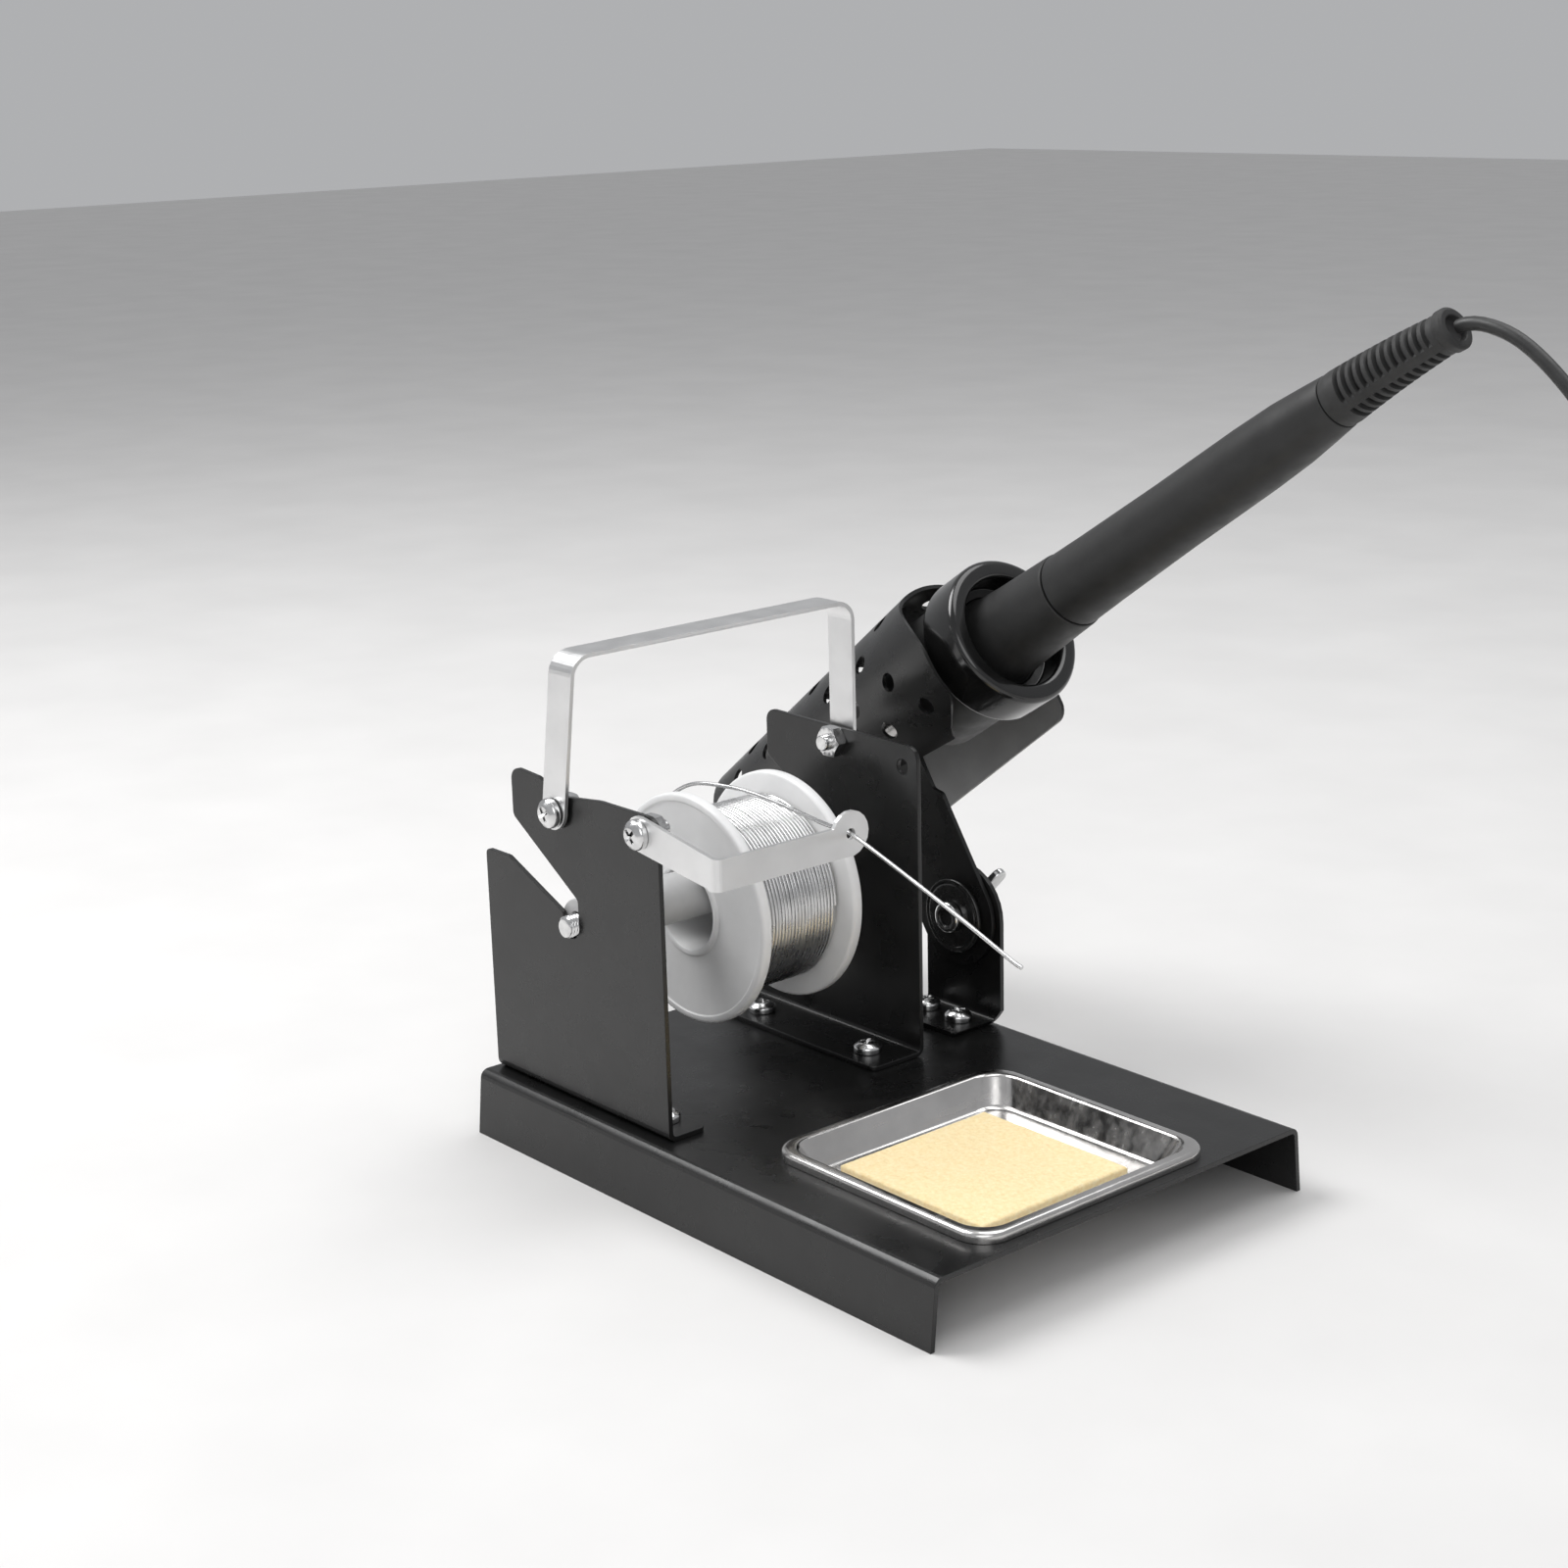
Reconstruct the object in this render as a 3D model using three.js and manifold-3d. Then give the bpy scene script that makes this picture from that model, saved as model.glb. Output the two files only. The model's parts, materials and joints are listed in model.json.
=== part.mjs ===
// A bench station for a soldering iron: a folded steel base with a sponge tray, a reel of solder
// between two slotted brackets, and a perforated sheet holder that carries the iron.
// Millimetres, +Z up. Lengths below are given from the base's front left corner at table height:
// x runs along the base, y towards the back. The last lines move the origin to the centre of the
// footprint. Every touching pair keeps a small gap for its paint film or running clearance.
import * as THREE from 'three';
import { mergeVertices, toCreasedNormals } from 'three/addons/utils/BufferGeometryUtils.js';
import Module from 'manifold-3d';

const wasm = await Module();
wasm.setup();

// ---------------------------------------------------------------- driving dimensions
const SHEET = 1.2;                  // thickness of the black folded steel
const STRAP = 1.0;                  // thickness of the bright steel straps
const FILM = 0.05;                  // gap between two stacked sheets
const CURVE = 4;                    // segments of a rounded corner
const ROUND = 16;                   // sides of a turned piece
const FINE = 9;                     // segments of a rounded corner that is seen close up
const CREASE = 0.6;                 // edges sharper than this many radians stay sharp

const BASE = { length: 160, width: 113.3, top: 16, splay: 1.5, bend: 1.6 };
const FOOT_Z = BASE.top + FILM;     // underside of every foot that stands on the base
const FOOT_TOP = FOOT_Z + SHEET;
const FOOT_SCREWS = [[19, 10.9], [59, 10.9], [19, 73.7], [59, 73.7], [46.5, 105.5], [58.6, 104.8]];

const TRAY = { x: 123.1, y: 52.1, halfX: 34.1, halfY: 35.9, corner: 5.6, sheet: 0.6 };
const SPONGE = { x: 123, y: 50.1, side: 45, bottom: 11.3, top: 14.1 };

const BRACKET = { left: 1.1, right: 68.4, top: 92.3, front: 4.6, rear: 82.5 };
const FRONT_FOOT_END = 15.5;
const REAR_FOOT_END = 67;
const HANDLE_HOLES = { frontX: 31.9, frontZ: 87.0, rearX: 39.7, rearZ: 90.6 };
const ARM_HOLE = { x: 63.3, z: 88.2 };

const AXLE = { x: 34.4, z: 59.9, radius: 2.7, front: 2.6, rear: 86 };
const SLEEVE = { radius: 5.9, bore: 2.95, front: 6.3, rear: 82.0 };
const SPOOL = { z: 56.1, radius: 28.2, front: 38.7, rear: 69.9, flange: 3, bore: 10, barrel: 12.5 };
const WINDING_RADIUS = 23.5;

const HANDLE = { width: 8.5, top: 124.4, front: 3.4, rear: 84.9, bend: 4.5 };
const SWING_GAP = 0.35;             // room under the heads of the handle's screws, whose line is slanted
const HANDLE_LEAN = 0.157;          // the front leg leans this much in x for each mm of height
const ARM = { y: 3.85, bendX: 90, low: 80.5, high: 87.7, eyeY: 42, eyeZ: 85.7, eyeRadius: 5.3 };

const UPRIGHT = { left: 41, right: 67.3, front: 111.1, footEnd: 97, topRadius: 13, centreZ: 43 };
const PIVOT = { x: 53, z: 42.5 };

const HOLDER = { x: 42.2, y: 123, z: 102.4, tilt: 33.44, radius: 22.8, taper: 0.08995, length: 99.4 };
const HOLDER_SHEET = 1.0;
const WRAP_END = 232;               // degrees round the cone where the near edge of the sheet lies
const TAB = { front: -13.4, station: -24, halfWidth: 12.9, drop: 55.9 };
const RING = { back: 10.3, front: 22.5, radius: 19.2, bore: 14.4, step: 12.1 };

const IRON = { seam: 45.4, neck: 138.2, end: 171.9, sag: 1.7 };
const CORD = { radius: 1.5, y: 123 };
const COIL = { x: 300, inner: 12.5, turns: 4, layers: 2 };
const COIL_OUTER = COIL.inner + (COIL.turns - 1) * 2 * CORD.radius;
const COIL_Y = CORD.y + COIL_OUTER;

// ---------------------------------------------------------------- materials
const painted = () => new THREE.MeshStandardMaterial({ color: 0x1c1c1f, roughness: 0.42, metalness: 0.3 });
const zinc = () => new THREE.MeshStandardMaterial({ color: 0xc9ccd0, roughness: 0.28, metalness: 1 });
const steel = () => new THREE.MeshStandardMaterial({ color: 0xb9bbbd, roughness: 0.35, metalness: 1 });
const solder = () => new THREE.MeshStandardMaterial({ color: 0xc6c8cb, roughness: 0.25, metalness: 1 });
const nylon = () => new THREE.MeshStandardMaterial({ color: 0xe9e9e6, roughness: 0.5, metalness: 0 });
const greyPlastic = () => new THREE.MeshStandardMaterial({ color: 0xb8b8b8, roughness: 0.5, metalness: 0 });
const cellulose = () => new THREE.MeshStandardMaterial({ color: 0xecd68c, roughness: 0.95, metalness: 0 });
const bakelite = () => new THREE.MeshStandardMaterial({ color: 0x151515, roughness: 0.22, metalness: 0 });
const grip = () => new THREE.MeshStandardMaterial({ color: 0x222223, roughness: 0.6, metalness: 0 });
const rubber = () => new THREE.MeshStandardMaterial({ color: 0x2c2c2d, roughness: 0.75, metalness: 0 });
const copper = () => new THREE.MeshStandardMaterial({ color: 0x8c8f93, roughness: 0.4, metalness: 1 });

// ---------------------------------------------------------------- helpers
const radians = THREE.MathUtils.degToRad;
const smooth = THREE.MathUtils.smoothstep;

// Positions only, shared corners merged, and triangles without area dropped.
function cleaned(geometry) {
  const bare = geometry.clone();
  bare.deleteAttribute('normal');
  bare.deleteAttribute('uv');
  const merged = mergeVertices(bare, 1e-4);
  const source = merged.index.array;
  const kept = [];
  for (let i = 0; i < source.length; i += 3) {
    const [a, b, c] = [source[i], source[i + 1], source[i + 2]];
    if (a !== b && b !== c && c !== a) kept.push(a, b, c);
  }
  merged.setIndex(kept);
  return merged;
}

function solid(geometry) {
  const shape = cleaned(geometry);
  return new wasm.Manifold(new wasm.Mesh({
    numProp: 3,
    vertProperties: Float32Array.from(shape.attributes.position.array),
    triVerts: Uint32Array.from(shape.index.array),
  }));
}

function geometryOf(body) {
  const mesh = body.getMesh();
  const geometry = new THREE.BufferGeometry();
  geometry.setAttribute('position', new THREE.BufferAttribute(mesh.vertProperties, 3));
  geometry.setIndex(new THREE.BufferAttribute(mesh.triVerts, 1));
  return geometry;
}

function cut(geometry, cutters) {
  let body = solid(geometry);
  for (const cutter of cutters) body = body.subtract(solid(cutter));
  return geometryOf(body);
}

function join(pieces) {
  let body = solid(pieces[0]);
  for (const piece of pieces.slice(1)) body = body.add(solid(piece));
  return geometryOf(body);
}

function common(pieces) {
  let body = solid(pieces[0]);
  for (const piece of pieces.slice(1)) body = body.intersect(solid(piece));
  return geometryOf(body);
}

function add(parent, name, geometry, material) {
  const mesh = new THREE.Mesh(toCreasedNormals(cleaned(geometry), CREASE), material);
  mesh.name = name;
  parent.add(mesh);
  return mesh;
}

function extruded(shape, depth, segments = CURVE) {
  return new THREE.ExtrudeGeometry(shape, { depth, bevelEnabled: false, curveSegments: segments });
}

// An outline in (x, z) that fills y0 to y1.
function prismY(shape, y0, y1, segments) {
  return extruded(shape, y1 - y0, segments).rotateX(Math.PI / 2).translate(0, y1, 0);
}

// An outline in (y, z) that fills x0 to x1.
function prismX(shape, x0, x1, segments) {
  const turn = new THREE.Matrix4().set(0, 0, 1, x0, 1, 0, 0, 0, 0, 1, 0, 0, 0, 0, 0, 1);
  return extruded(shape, x1 - x0, segments).applyMatrix4(turn);
}

// An outline in (x, y) that fills z0 to z1.
function prismZ(shape, z0, z1) {
  return extruded(shape, z1 - z0).translate(0, 0, z0);
}

// A closed outline through [x, y, corner radius] points.
function outline(corners) {
  const shape = new THREE.Shape();
  const count = corners.length;
  corners.forEach(([x, y, radius], i) => {
    const here = new THREE.Vector2(x, y);
    const [bx, by] = corners[(i + count - 1) % count];
    const [ax, ay] = corners[(i + 1) % count];
    const into = here.clone().sub(new THREE.Vector2(bx, by)).normalize();
    const out = new THREE.Vector2(ax, ay).sub(here).normalize();
    const turn = Math.atan2(into.cross(out), into.dot(out));
    if (!radius) {
      if (i === 0) shape.moveTo(x, y);
      else shape.lineTo(x, y);
      return;
    }
    const start = here.clone().addScaledVector(into, -radius * Math.tan(Math.abs(turn) / 2));
    const side = Math.sign(turn);
    const centre = start.clone().add(new THREE.Vector2(-into.y, into.x).multiplyScalar(side * radius));
    const from = Math.atan2(start.y - centre.y, start.x - centre.x);
    shape.absarc(centre.x, centre.y, radius, from, from + turn, side < 0);
  });
  return shape;
}

function circle(x, y, radius) {
  return new THREE.Shape().absarc(x, y, radius, 0, 2 * Math.PI, false);
}

// The section of a folded sheet: an even thickness about a centre line with rounded folds.
function foldedStrip(corners, thickness, bend, steps = CURVE) {
  const left = [];
  const right = [];
  const put = (point, along) => {
    const side = new THREE.Vector2(-along.y, along.x).multiplyScalar(thickness / 2);
    left.push(point.clone().add(side));
    right.unshift(point.clone().sub(side));
  };
  const points = corners.map(([x, y]) => new THREE.Vector2(x, y));
  const last = points.length - 1;
  points.forEach((point, i) => {
    const into = i > 0 ? point.clone().sub(points[i - 1]).normalize() : null;
    const out = i < last ? points[i + 1].clone().sub(point).normalize() : null;
    if (!into || !out) {
      put(point, into || out);
      return;
    }
    const turn = Math.atan2(into.cross(out), into.dot(out));
    const start = point.clone().addScaledVector(into, -bend * Math.tan(Math.abs(turn) / 2));
    const inward = new THREE.Vector2(-into.y, into.x).multiplyScalar(Math.sign(turn) * bend);
    const centre = start.clone().add(inward);
    for (let k = 0; k <= steps; k++) {
      const angle = turn * k / steps;
      put(start.clone().rotateAround(centre, angle), into.clone().rotateAround(new THREE.Vector2(), angle));
    }
  });
  return new THREE.Shape([...left, ...right].reverse());
}

// A turned piece: [radius, height] points, anticlockwise, about the y or the z axis.
function turned(profile, axis, sides = ROUND) {
  const geometry = new THREE.LatheGeometry(profile.map(([r, h]) => new THREE.Vector2(r, h)), sides);
  if (axis === 'z') geometry.rotateX(Math.PI / 2);
  return geometry;
}

// A turned ring: an outer wall that follows [radius, height] points upwards, and a plain bore.
function turnedTube(outer, bore, axis, sides = ROUND) {
  const low = outer[0][1];
  const high = outer[outer.length - 1][1];
  return turned([[bore, low], ...outer, [bore, high], [bore, low]], axis, sides);
}

// A closed skin over rings of equally many points, with both ends capped.
function loft(rings) {
  const count = rings[0].length;
  const flat = rings.flat();
  const middle = (ring) => ring.reduce((sum, p) => sum.add(p), new THREE.Vector3()).divideScalar(count);
  const points = [...flat, middle(rings[0]), middle(rings[rings.length - 1])];
  const faces = [];
  const [firstCap, lastCap] = [flat.length, flat.length + 1];
  const top = (rings.length - 1) * count;
  for (let k = 0; k < count; k++) {
    const next = (k + 1) % count;
    for (let i = 0; i + 1 < rings.length; i++) {
      const [a, b] = [i * count + k, i * count + next];
      faces.push(a, b, b + count, a, b + count, a + count);
    }
    faces.push(firstCap, next, k, lastCap, top + k, top + next);
  }
  const geometry = new THREE.BufferGeometry().setFromPoints(points);
  geometry.setIndex(faces);
  return geometry;
}

// A rounded rectangle as a ring of points at height z.
function rectangleRing(x, y, halfX, halfY, radius, z) {
  const ring = [];
  for (const [sx, sy, from] of [[1, -1, -90], [1, 1, 0], [-1, 1, 90], [-1, -1, 180]]) {
    for (let k = 0; k <= 3; k++) {
      const angle = radians(from + 90 * k / 3);
      const px = x + sx * (halfX - radius) + radius * Math.cos(angle);
      const py = y + sy * (halfY - radius) + radius * Math.sin(angle);
      ring.push(new THREE.Vector3(px, py, z));
    }
  }
  return ring;
}

function tube(points, radius, steps, sides = 8) {
  const path = new THREE.CatmullRomCurve3(points.map((p) => new THREE.Vector3(...p)));
  const section = new THREE.Shape();
  for (let k = 0; k < sides; k++) {
    const angle = 2 * Math.PI * k / sides;
    const [x, y] = [radius * Math.cos(angle), radius * Math.sin(angle)];
    if (k === 0) section.moveTo(x, y);
    else section.lineTo(x, y);
  }
  return new THREE.ExtrudeGeometry(section, { steps, extrudePath: path });
}

// ---------------------------------------------------------------- fasteners
const HEAD = { radius: 3.5, height: 2.6, shank: 1.95, hole: 2.2 };

// A pan-head screw with a cross recess: its head stands on height 0 of its own y axis.
function panScrew(length) {
  const { radius, height, shank } = HEAD;
  const body = turned([
    [0, -length], [shank, -length], [shank, 0], [radius, 0], [radius, height * 0.5],
    [radius * 0.9, height * 0.82], [radius * 0.6, height * 0.97], [0, height],
  ], 'y');
  const slot = (turn) => new THREE.BoxGeometry(3.8, 3, 0.9).rotateY(turn).translate(0, height + 0.1, 0);
  return cut(body, [slot(0), slot(Math.PI / 2)]);
}

// A hexagon nut across 7 mm flats, on its own y axis from height 0.
function hexNut(height) {
  const nut = new THREE.Shape();
  const corner = 3.5 / Math.cos(Math.PI / 6);
  for (let k = 0; k < 6; k++) {
    const angle = Math.PI * k / 3;
    const [x, y] = [corner * Math.cos(angle), corner * Math.sin(angle)];
    if (k === 0) nut.moveTo(x, y);
    else nut.lineTo(x, y);
  }
  nut.holes.push(circle(0, 0, HEAD.hole));
  return prismY(nut, 0, height);
}

// ---------------------------------------------------------------- base, tray and sponge
function basePlate() {
  const { length, width, top, splay, bend } = BASE;
  const mid = SHEET / 2;
  const foot = -1;
  const spread = splay * (top - foot) / top;
  const section = foldedStrip([
    [mid - spread, foot], [mid, top - mid], [width - mid, top - mid], [width - mid + spread, foot],
  ], SHEET, bend);
  const below = new THREE.BoxGeometry(400, 400, 4).translate(length / 2, width / 2, -2);
  const holes = FOOT_SCREWS.map(([x, y]) => prismZ(circle(x, y, HEAD.hole), top - 4, top + 2));
  const wall = 2.0;
  const opening = loft([top - 4, top + 2].map((z) => rectangleRing(
    TRAY.x, TRAY.y, TRAY.halfX - wall + 0.5, TRAY.halfY - wall + 0.5, TRAY.corner, z)));
  return cut(prismX(section, 0, length), [below, opening, ...holes]);
}

// The tray is one pressed sheet: floor, sloping wall and a rolled rim that rests on the base.
function spongeTray() {
  const levels = [
    [7.0, 10.6], [5.4, 11.0], [4.9, 12.0], [2.0, 17.0], [1.6, 17.6], [1.1, 17.8], [0.7, 17.4], [0.6, 16.1],
    [0, 16.1], [0, 17.3], [0.35, 18.15], [1.1, 18.5], [1.9, 18.3], [2.6, 17.4],
    [5.5, 12.1], [6.1, 11.5], [7.3, 11.2],
  ];
  return loft(levels.map(([inset, z]) => rectangleRing(
    TRAY.x, TRAY.y, TRAY.halfX - inset, TRAY.halfY - inset, TRAY.corner - 0.5 * inset, z)));
}

function sponge() {
  const { x, y, side, bottom, top } = SPONGE;
  return loft([bottom, top].map((z) => rectangleRing(x, y, side / 2, side / 2, 0.6, z)));
}

// ---------------------------------------------------------------- brackets and upright
// The side view of a reel bracket: a slanted slot leads the axle down into a round seat.
function bracketOutline(topEdge) {
  const { left, right } = BRACKET;
  const seat = 3.0;
  return outline([
    [left, BASE.top, 0], [right, BASE.top, 0], ...topEdge,
    [13.3, 82.4, 2],
    [AXLE.x + seat, 66.7, 1.5], [AXLE.x + seat, AXLE.z - seat, seat - 0.01],
    [AXLE.x - seat, AXLE.z - seat, seat - 0.01], [AXLE.x - seat, 62.5, 1],
    [10.2, 71.7, 3], [left, 71.7, 1.4],
  ]);
}

function bracket(topEdge, section, footEnd, holes) {
  const plan = footEnd < 20 ? [0, footEnd] : [footEnd, 100];
  const corner = 2;
  const footprint = outline([
    [BRACKET.left, plan[0], corner], [BRACKET.right, plan[0], corner],
    [BRACKET.right, plan[1], corner], [BRACKET.left, plan[1], corner],
  ]);
  const sheet = common([
    prismX(section, BRACKET.left, BRACKET.right),
    prismY(bracketOutline(topEdge), -10, 110),
    prismZ(footprint, 0, 120),
  ]);
  return cut(sheet, holes);
}

function footHoles(screws) {
  return screws.map(([x, y]) => prismZ(circle(x, y, HEAD.hole), FOOT_Z - 2, FOOT_TOP + 2));
}

function frontBracket() {
  const { right, top, front } = BRACKET;
  const topEdge = [[right, top, 3.5], [47, top, 20], [33, 90.6, 12], [24, 93.6, 4], [13.3, 94.3, 3]];
  const mid = front + SHEET / 2;
  const low = FOOT_Z + SHEET / 2;
  const section = foldedStrip([[FRONT_FOOT_END, low], [mid, low], [mid, 100]], SHEET, BASE.bend);
  const { frontX, frontZ } = HANDLE_HOLES;
  const holes = [[frontX, frontZ], [ARM_HOLE.x, ARM_HOLE.z]]
    .map(([x, z]) => prismY(circle(x, z, HEAD.hole), front - 2, front + 4));
  return bracket(topEdge, section, FRONT_FOOT_END, [...holes, ...footHoles(FOOT_SCREWS.slice(0, 2))]);
}

function rearBracket() {
  const { right, rear } = BRACKET;
  const topEdge = [[right, 93.6, 3.5], [13.3, 94.2, 3]];
  const mid = rear + SHEET / 2;
  const low = FOOT_Z + SHEET / 2;
  const section = foldedStrip([[REAR_FOOT_END, low], [mid, low], [mid, 100]], SHEET, BASE.bend);
  const { rearX, rearZ } = HANDLE_HOLES;
  const holes = [[rearX, rearZ, HEAD.hole], [ARM_HOLE.x, ARM_HOLE.z, 1.9]]
    .map(([x, z, radius]) => prismY(circle(x, z, radius), rear - 2, rear + 4, FINE));
  return bracket(topEdge, section, REAR_FOOT_END, [...holes, ...footHoles(FOOT_SCREWS.slice(2, 4))]);
}

// The upright carries the holder: a round-topped plate with a foot folded towards the front.
function upright() {
  const { left, right, front, footEnd, topRadius, centreZ } = UPRIGHT;
  const mid = front + SHEET / 2;
  const low = FOOT_Z + SHEET / 2;
  const section = foldedStrip([[footEnd, low], [mid, low], [mid, 70]], SHEET, BASE.bend);
  const side = outline([
    [left, BASE.top, 0], [64.4, BASE.top, 0], [right, 20, 0.5],
    [right, centreZ + topRadius, topRadius], [left, centreZ + topRadius, topRadius],
  ]);
  const footprint = outline([[left, footEnd, 2], [right, footEnd, 2], [right, 120, 0], [left, 120, 0]]);
  const sheet = common([prismX(section, left, right), prismY(side, 90, 120), prismZ(footprint, 0, 80)]);
  const pivot = prismY(circle(PIVOT.x, PIVOT.z, HEAD.hole), front - 2, front + 4);
  return cut(sheet, [pivot, ...footHoles(FOOT_SCREWS.slice(4))]);
}

// ---------------------------------------------------------------- handle and guide arm
// A bent strap: its legs hang on two screws that don't quite face each other, so the front leg leans.
function handleStrap() {
  const { width, top, front, rear, bend } = HANDLE;
  const { frontX, frontZ, rearX, rearZ } = HANDLE_HOLES;
  const half = width / 2;
  const section = foldedStrip([[front, 70], [front, top], [rear, top + 0.8], [rear, 70]], STRAP, bend, FINE);
  const between = (front + rear) / 2;
  const legShape = (z) => outline([
    [-half, z - half, half - 0.01], [half, z - half, half - 0.01], [half, 140, 0], [-half, 140, 0],
  ]);
  const limits = join([
    prismY(legShape(frontZ), front - 10, between),
    prismY(legShape(rearZ), between, rear + 10),
  ]);
  const hole = (z, y) => prismY(circle(0, z, HEAD.hole + 0.2), y - 2, y + 2);
  const strap = cut(common([prismX(section, -half, half), limits]), [hole(frontZ, front), hole(rearZ, rear)]);
  const place = strap.attributes.position;
  for (let i = 0; i < place.count; i++) {
    const share = THREE.MathUtils.clamp((place.getY(i) - front) / (rear - front), 0, 1);
    const leaning = frontX + HANDLE_LEAN * (place.getZ(i) - frontZ);
    place.setX(i, place.getX(i) + (1 - share) * leaning + share * rearX);
  }
  return strap;
}

// An angled strap that holds the solder's eye beside the reel.
function guideArm() {
  const { y, bendX, low, high, eyeY, eyeZ, eyeRadius } = ARM;
  const { x, z } = ARM_HOLE;
  const mid = bendX - STRAP / 2;
  const section = foldedStrip([[x - 8, y], [mid, y], [mid, 60]], STRAP, 1.2);
  const end = 4.1;
  const angle = Math.atan2((low + high) / 2 - z, bendX - x);
  const leg = new THREE.Shape();
  leg.absarc(x, z, end, angle + Math.PI / 2, angle + 1.5 * Math.PI, false);
  leg.lineTo(bendX, low);
  leg.lineTo(bendX + 2, low);
  leg.lineTo(bendX + 2, high);
  leg.lineTo(bendX, high);
  const bar = outline([[0, low, 0], [eyeY, low, 0], [eyeY, high, 0], [0, high, 0]]);
  const limits = join([
    prismY(leg, 0, y + STRAP),
    prismX(bar, bendX - 3, bendX + 2),
    prismX(circle(eyeY, eyeZ, eyeRadius), bendX - 3, bendX + 2, FINE),
  ]);
  return cut(common([prismZ(section, low - 8, high + 8), limits]), [
    prismY(circle(x, z, HEAD.hole), 0, y + 3),
    prismX(circle(eyeY, eyeZ, 1.3), bendX - 4, bendX + 4, FINE),
  ]);
}

// ---------------------------------------------------------------- reel
function spool() {
  const { radius, front, rear, flange, bore, barrel } = SPOOL;
  const edge = 0.7;
  const lip = 1.2;
  return turned([
    [bore, front - 0.4], [bore + lip, front - 0.4], [bore + lip + 0.4, front],
    [radius - edge, front], [radius, front + edge], [radius, front + flange - edge],
    [radius - edge, front + flange], [barrel, front + flange],
    [barrel, rear - flange], [radius - edge, rear - flange], [radius, rear - flange + edge],
    [radius, rear - edge], [radius - edge, rear], [bore + lip + 0.4, rear],
    [bore + lip, rear + 0.4], [bore, rear + 0.4], [bore, front - 0.4],
  ], 'y', 32);
}

function winding() {
  const { front, rear, flange, barrel } = SPOOL;
  const gap = 0.3;
  return turnedTube([
    [WINDING_RADIUS - 0.6, front + flange + gap], [WINDING_RADIUS, front + flange + gap + 0.6],
    [WINDING_RADIUS, rear - flange - gap - 0.6], [WINDING_RADIUS - 0.6, rear - flange - gap],
  ], barrel + gap, 'y', 32);
}

// The strand arcs clear of the winding, up and over to the eye of the guide arm.
const STRAND = [
  [10.3, 46, 58], [11, 46.5, 68], [16, 47.3, 77.2], [25, 48.3, 83.2], [38.5, 49.5, 85],
  [52, 49.5, 84.9], [66, 48, 84.4], [77, 45.6, 84.6], [87.9, 42.5, 85.8],
];
const LEAD = [
  [88.4, 42.3, 85.85], [90, 42, 85.7], [93, 41.9, 84.9], [105, 41.6, 81.2], [125, 41.4, 74.4],
  [143.5, 41.5, 67.7],
];
const WIRE_RADIUS = 0.5;

// ---------------------------------------------------------------- holder
// The holder's own frame: z runs up the cone's axis from the mouth's centre, x points downwards
// across it, and y is the station's y. An angle of 0 is the far side, 90 the top, 180 the near side.
function coneRadius(z) {
  return HOLDER.radius + HOLDER.taper * z;
}

// How far the mouth's edge stands forward at an angle round the cone.
function mouthEdge(angle) {
  return 15 * smooth(angle, 108, 182) * (1 - 0.85 * smooth(angle, 202, 234));
}

function wallRing(angle, tailShare) {
  const low = [-Math.sin(angle), Math.cos(angle), -HOLDER.length];
  const high = [-Math.sin(angle), Math.cos(angle), mouthEdge(THREE.MathUtils.radToDeg(angle))];
  let [lowDrop, highDrop] = [0, 0];
  if (tailShare > 0) {
    const round = Math.max(0, (tailShare - 0.8) / 0.2);
    lowDrop = 25.8 * tailShare;
    highDrop = 20.3 * tailShare;
    low[2] += 39.4 * tailShare * tailShare;
    high[2] = 4.4 * smooth(tailShare, 0, 0.75) - 4 * (1 - Math.sqrt(1 - round * round));
  }
  const at = ([ux, uy, z], drop, depth) => {
    const radius = coneRadius(z) - depth;
    return new THREE.Vector3(ux * radius + drop, uy * radius, z);
  };
  return [
    at(low, lowDrop, 0), at(low, lowDrop, HOLDER_SHEET),
    at(high, highDrop, HOLDER_SHEET), at(high, highDrop, 0),
  ];
}

function rolledSheet() {
  const rings = [];
  for (let angle = WRAP_END; angle >= 0; angle -= 8) rings.push(wallRing(radians(angle), 0));
  for (const share of [0.3, 0.55, 0.8, 0.9, 0.97, 1]) rings.push(wallRing(0, share));
  return loft(rings.reverse());
}

// Vent holes stand in rows along the cone, and each row is shifted against its neighbours.
function ventHoles() {
  const rows = [[47, -19], [73, -8], [99, -17], [125, -8], [151, -14], [177, -3], [203, 5]];
  const cutters = [];
  for (const [angle, first] of rows) {
    for (let z = first; z > 12 - HOLDER.length; z -= 17.5) {
      const radius = coneRadius(z);
      const drill = new THREE.CylinderGeometry(2.4, 2.4, 8, 8).rotateZ(radians(angle));
      const [x, y] = [-radius * Math.sin(radians(angle)), radius * Math.cos(radians(angle))];
      cutters.push(drill.translate(x, y, z));
    }
  }
  return cutters;
}

// The flat tab under the cone's near edge: bend notches above, the pivot hole in its round end.
function pivotTab() {
  const { front, station, halfWidth, drop } = TAB;
  const [low, high] = [station - halfWidth, station + halfWidth];
  const notch = 2.2;
  const shape = outline([
    [8, low + notch, 0], [25.5, low + notch, 1.5], [27.5, low, 2],
    [drop + halfWidth, low, halfWidth - 0.01], [drop + halfWidth, high, halfWidth - 0.01],
    [27.5, high, 2], [25.5, high - notch, 1.5], [8, high - notch, 0],
  ]);
  shape.holes.push(circle(drop, station, HEAD.hole));
  const turn = new THREE.Matrix4().set(1, 0, 0, 0, 0, 0, -1, front + SHEET, 0, 1, 0, 0, 0, 0, 0, 1);
  return extruded(shape, SHEET).applyMatrix4(turn);
}

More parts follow.
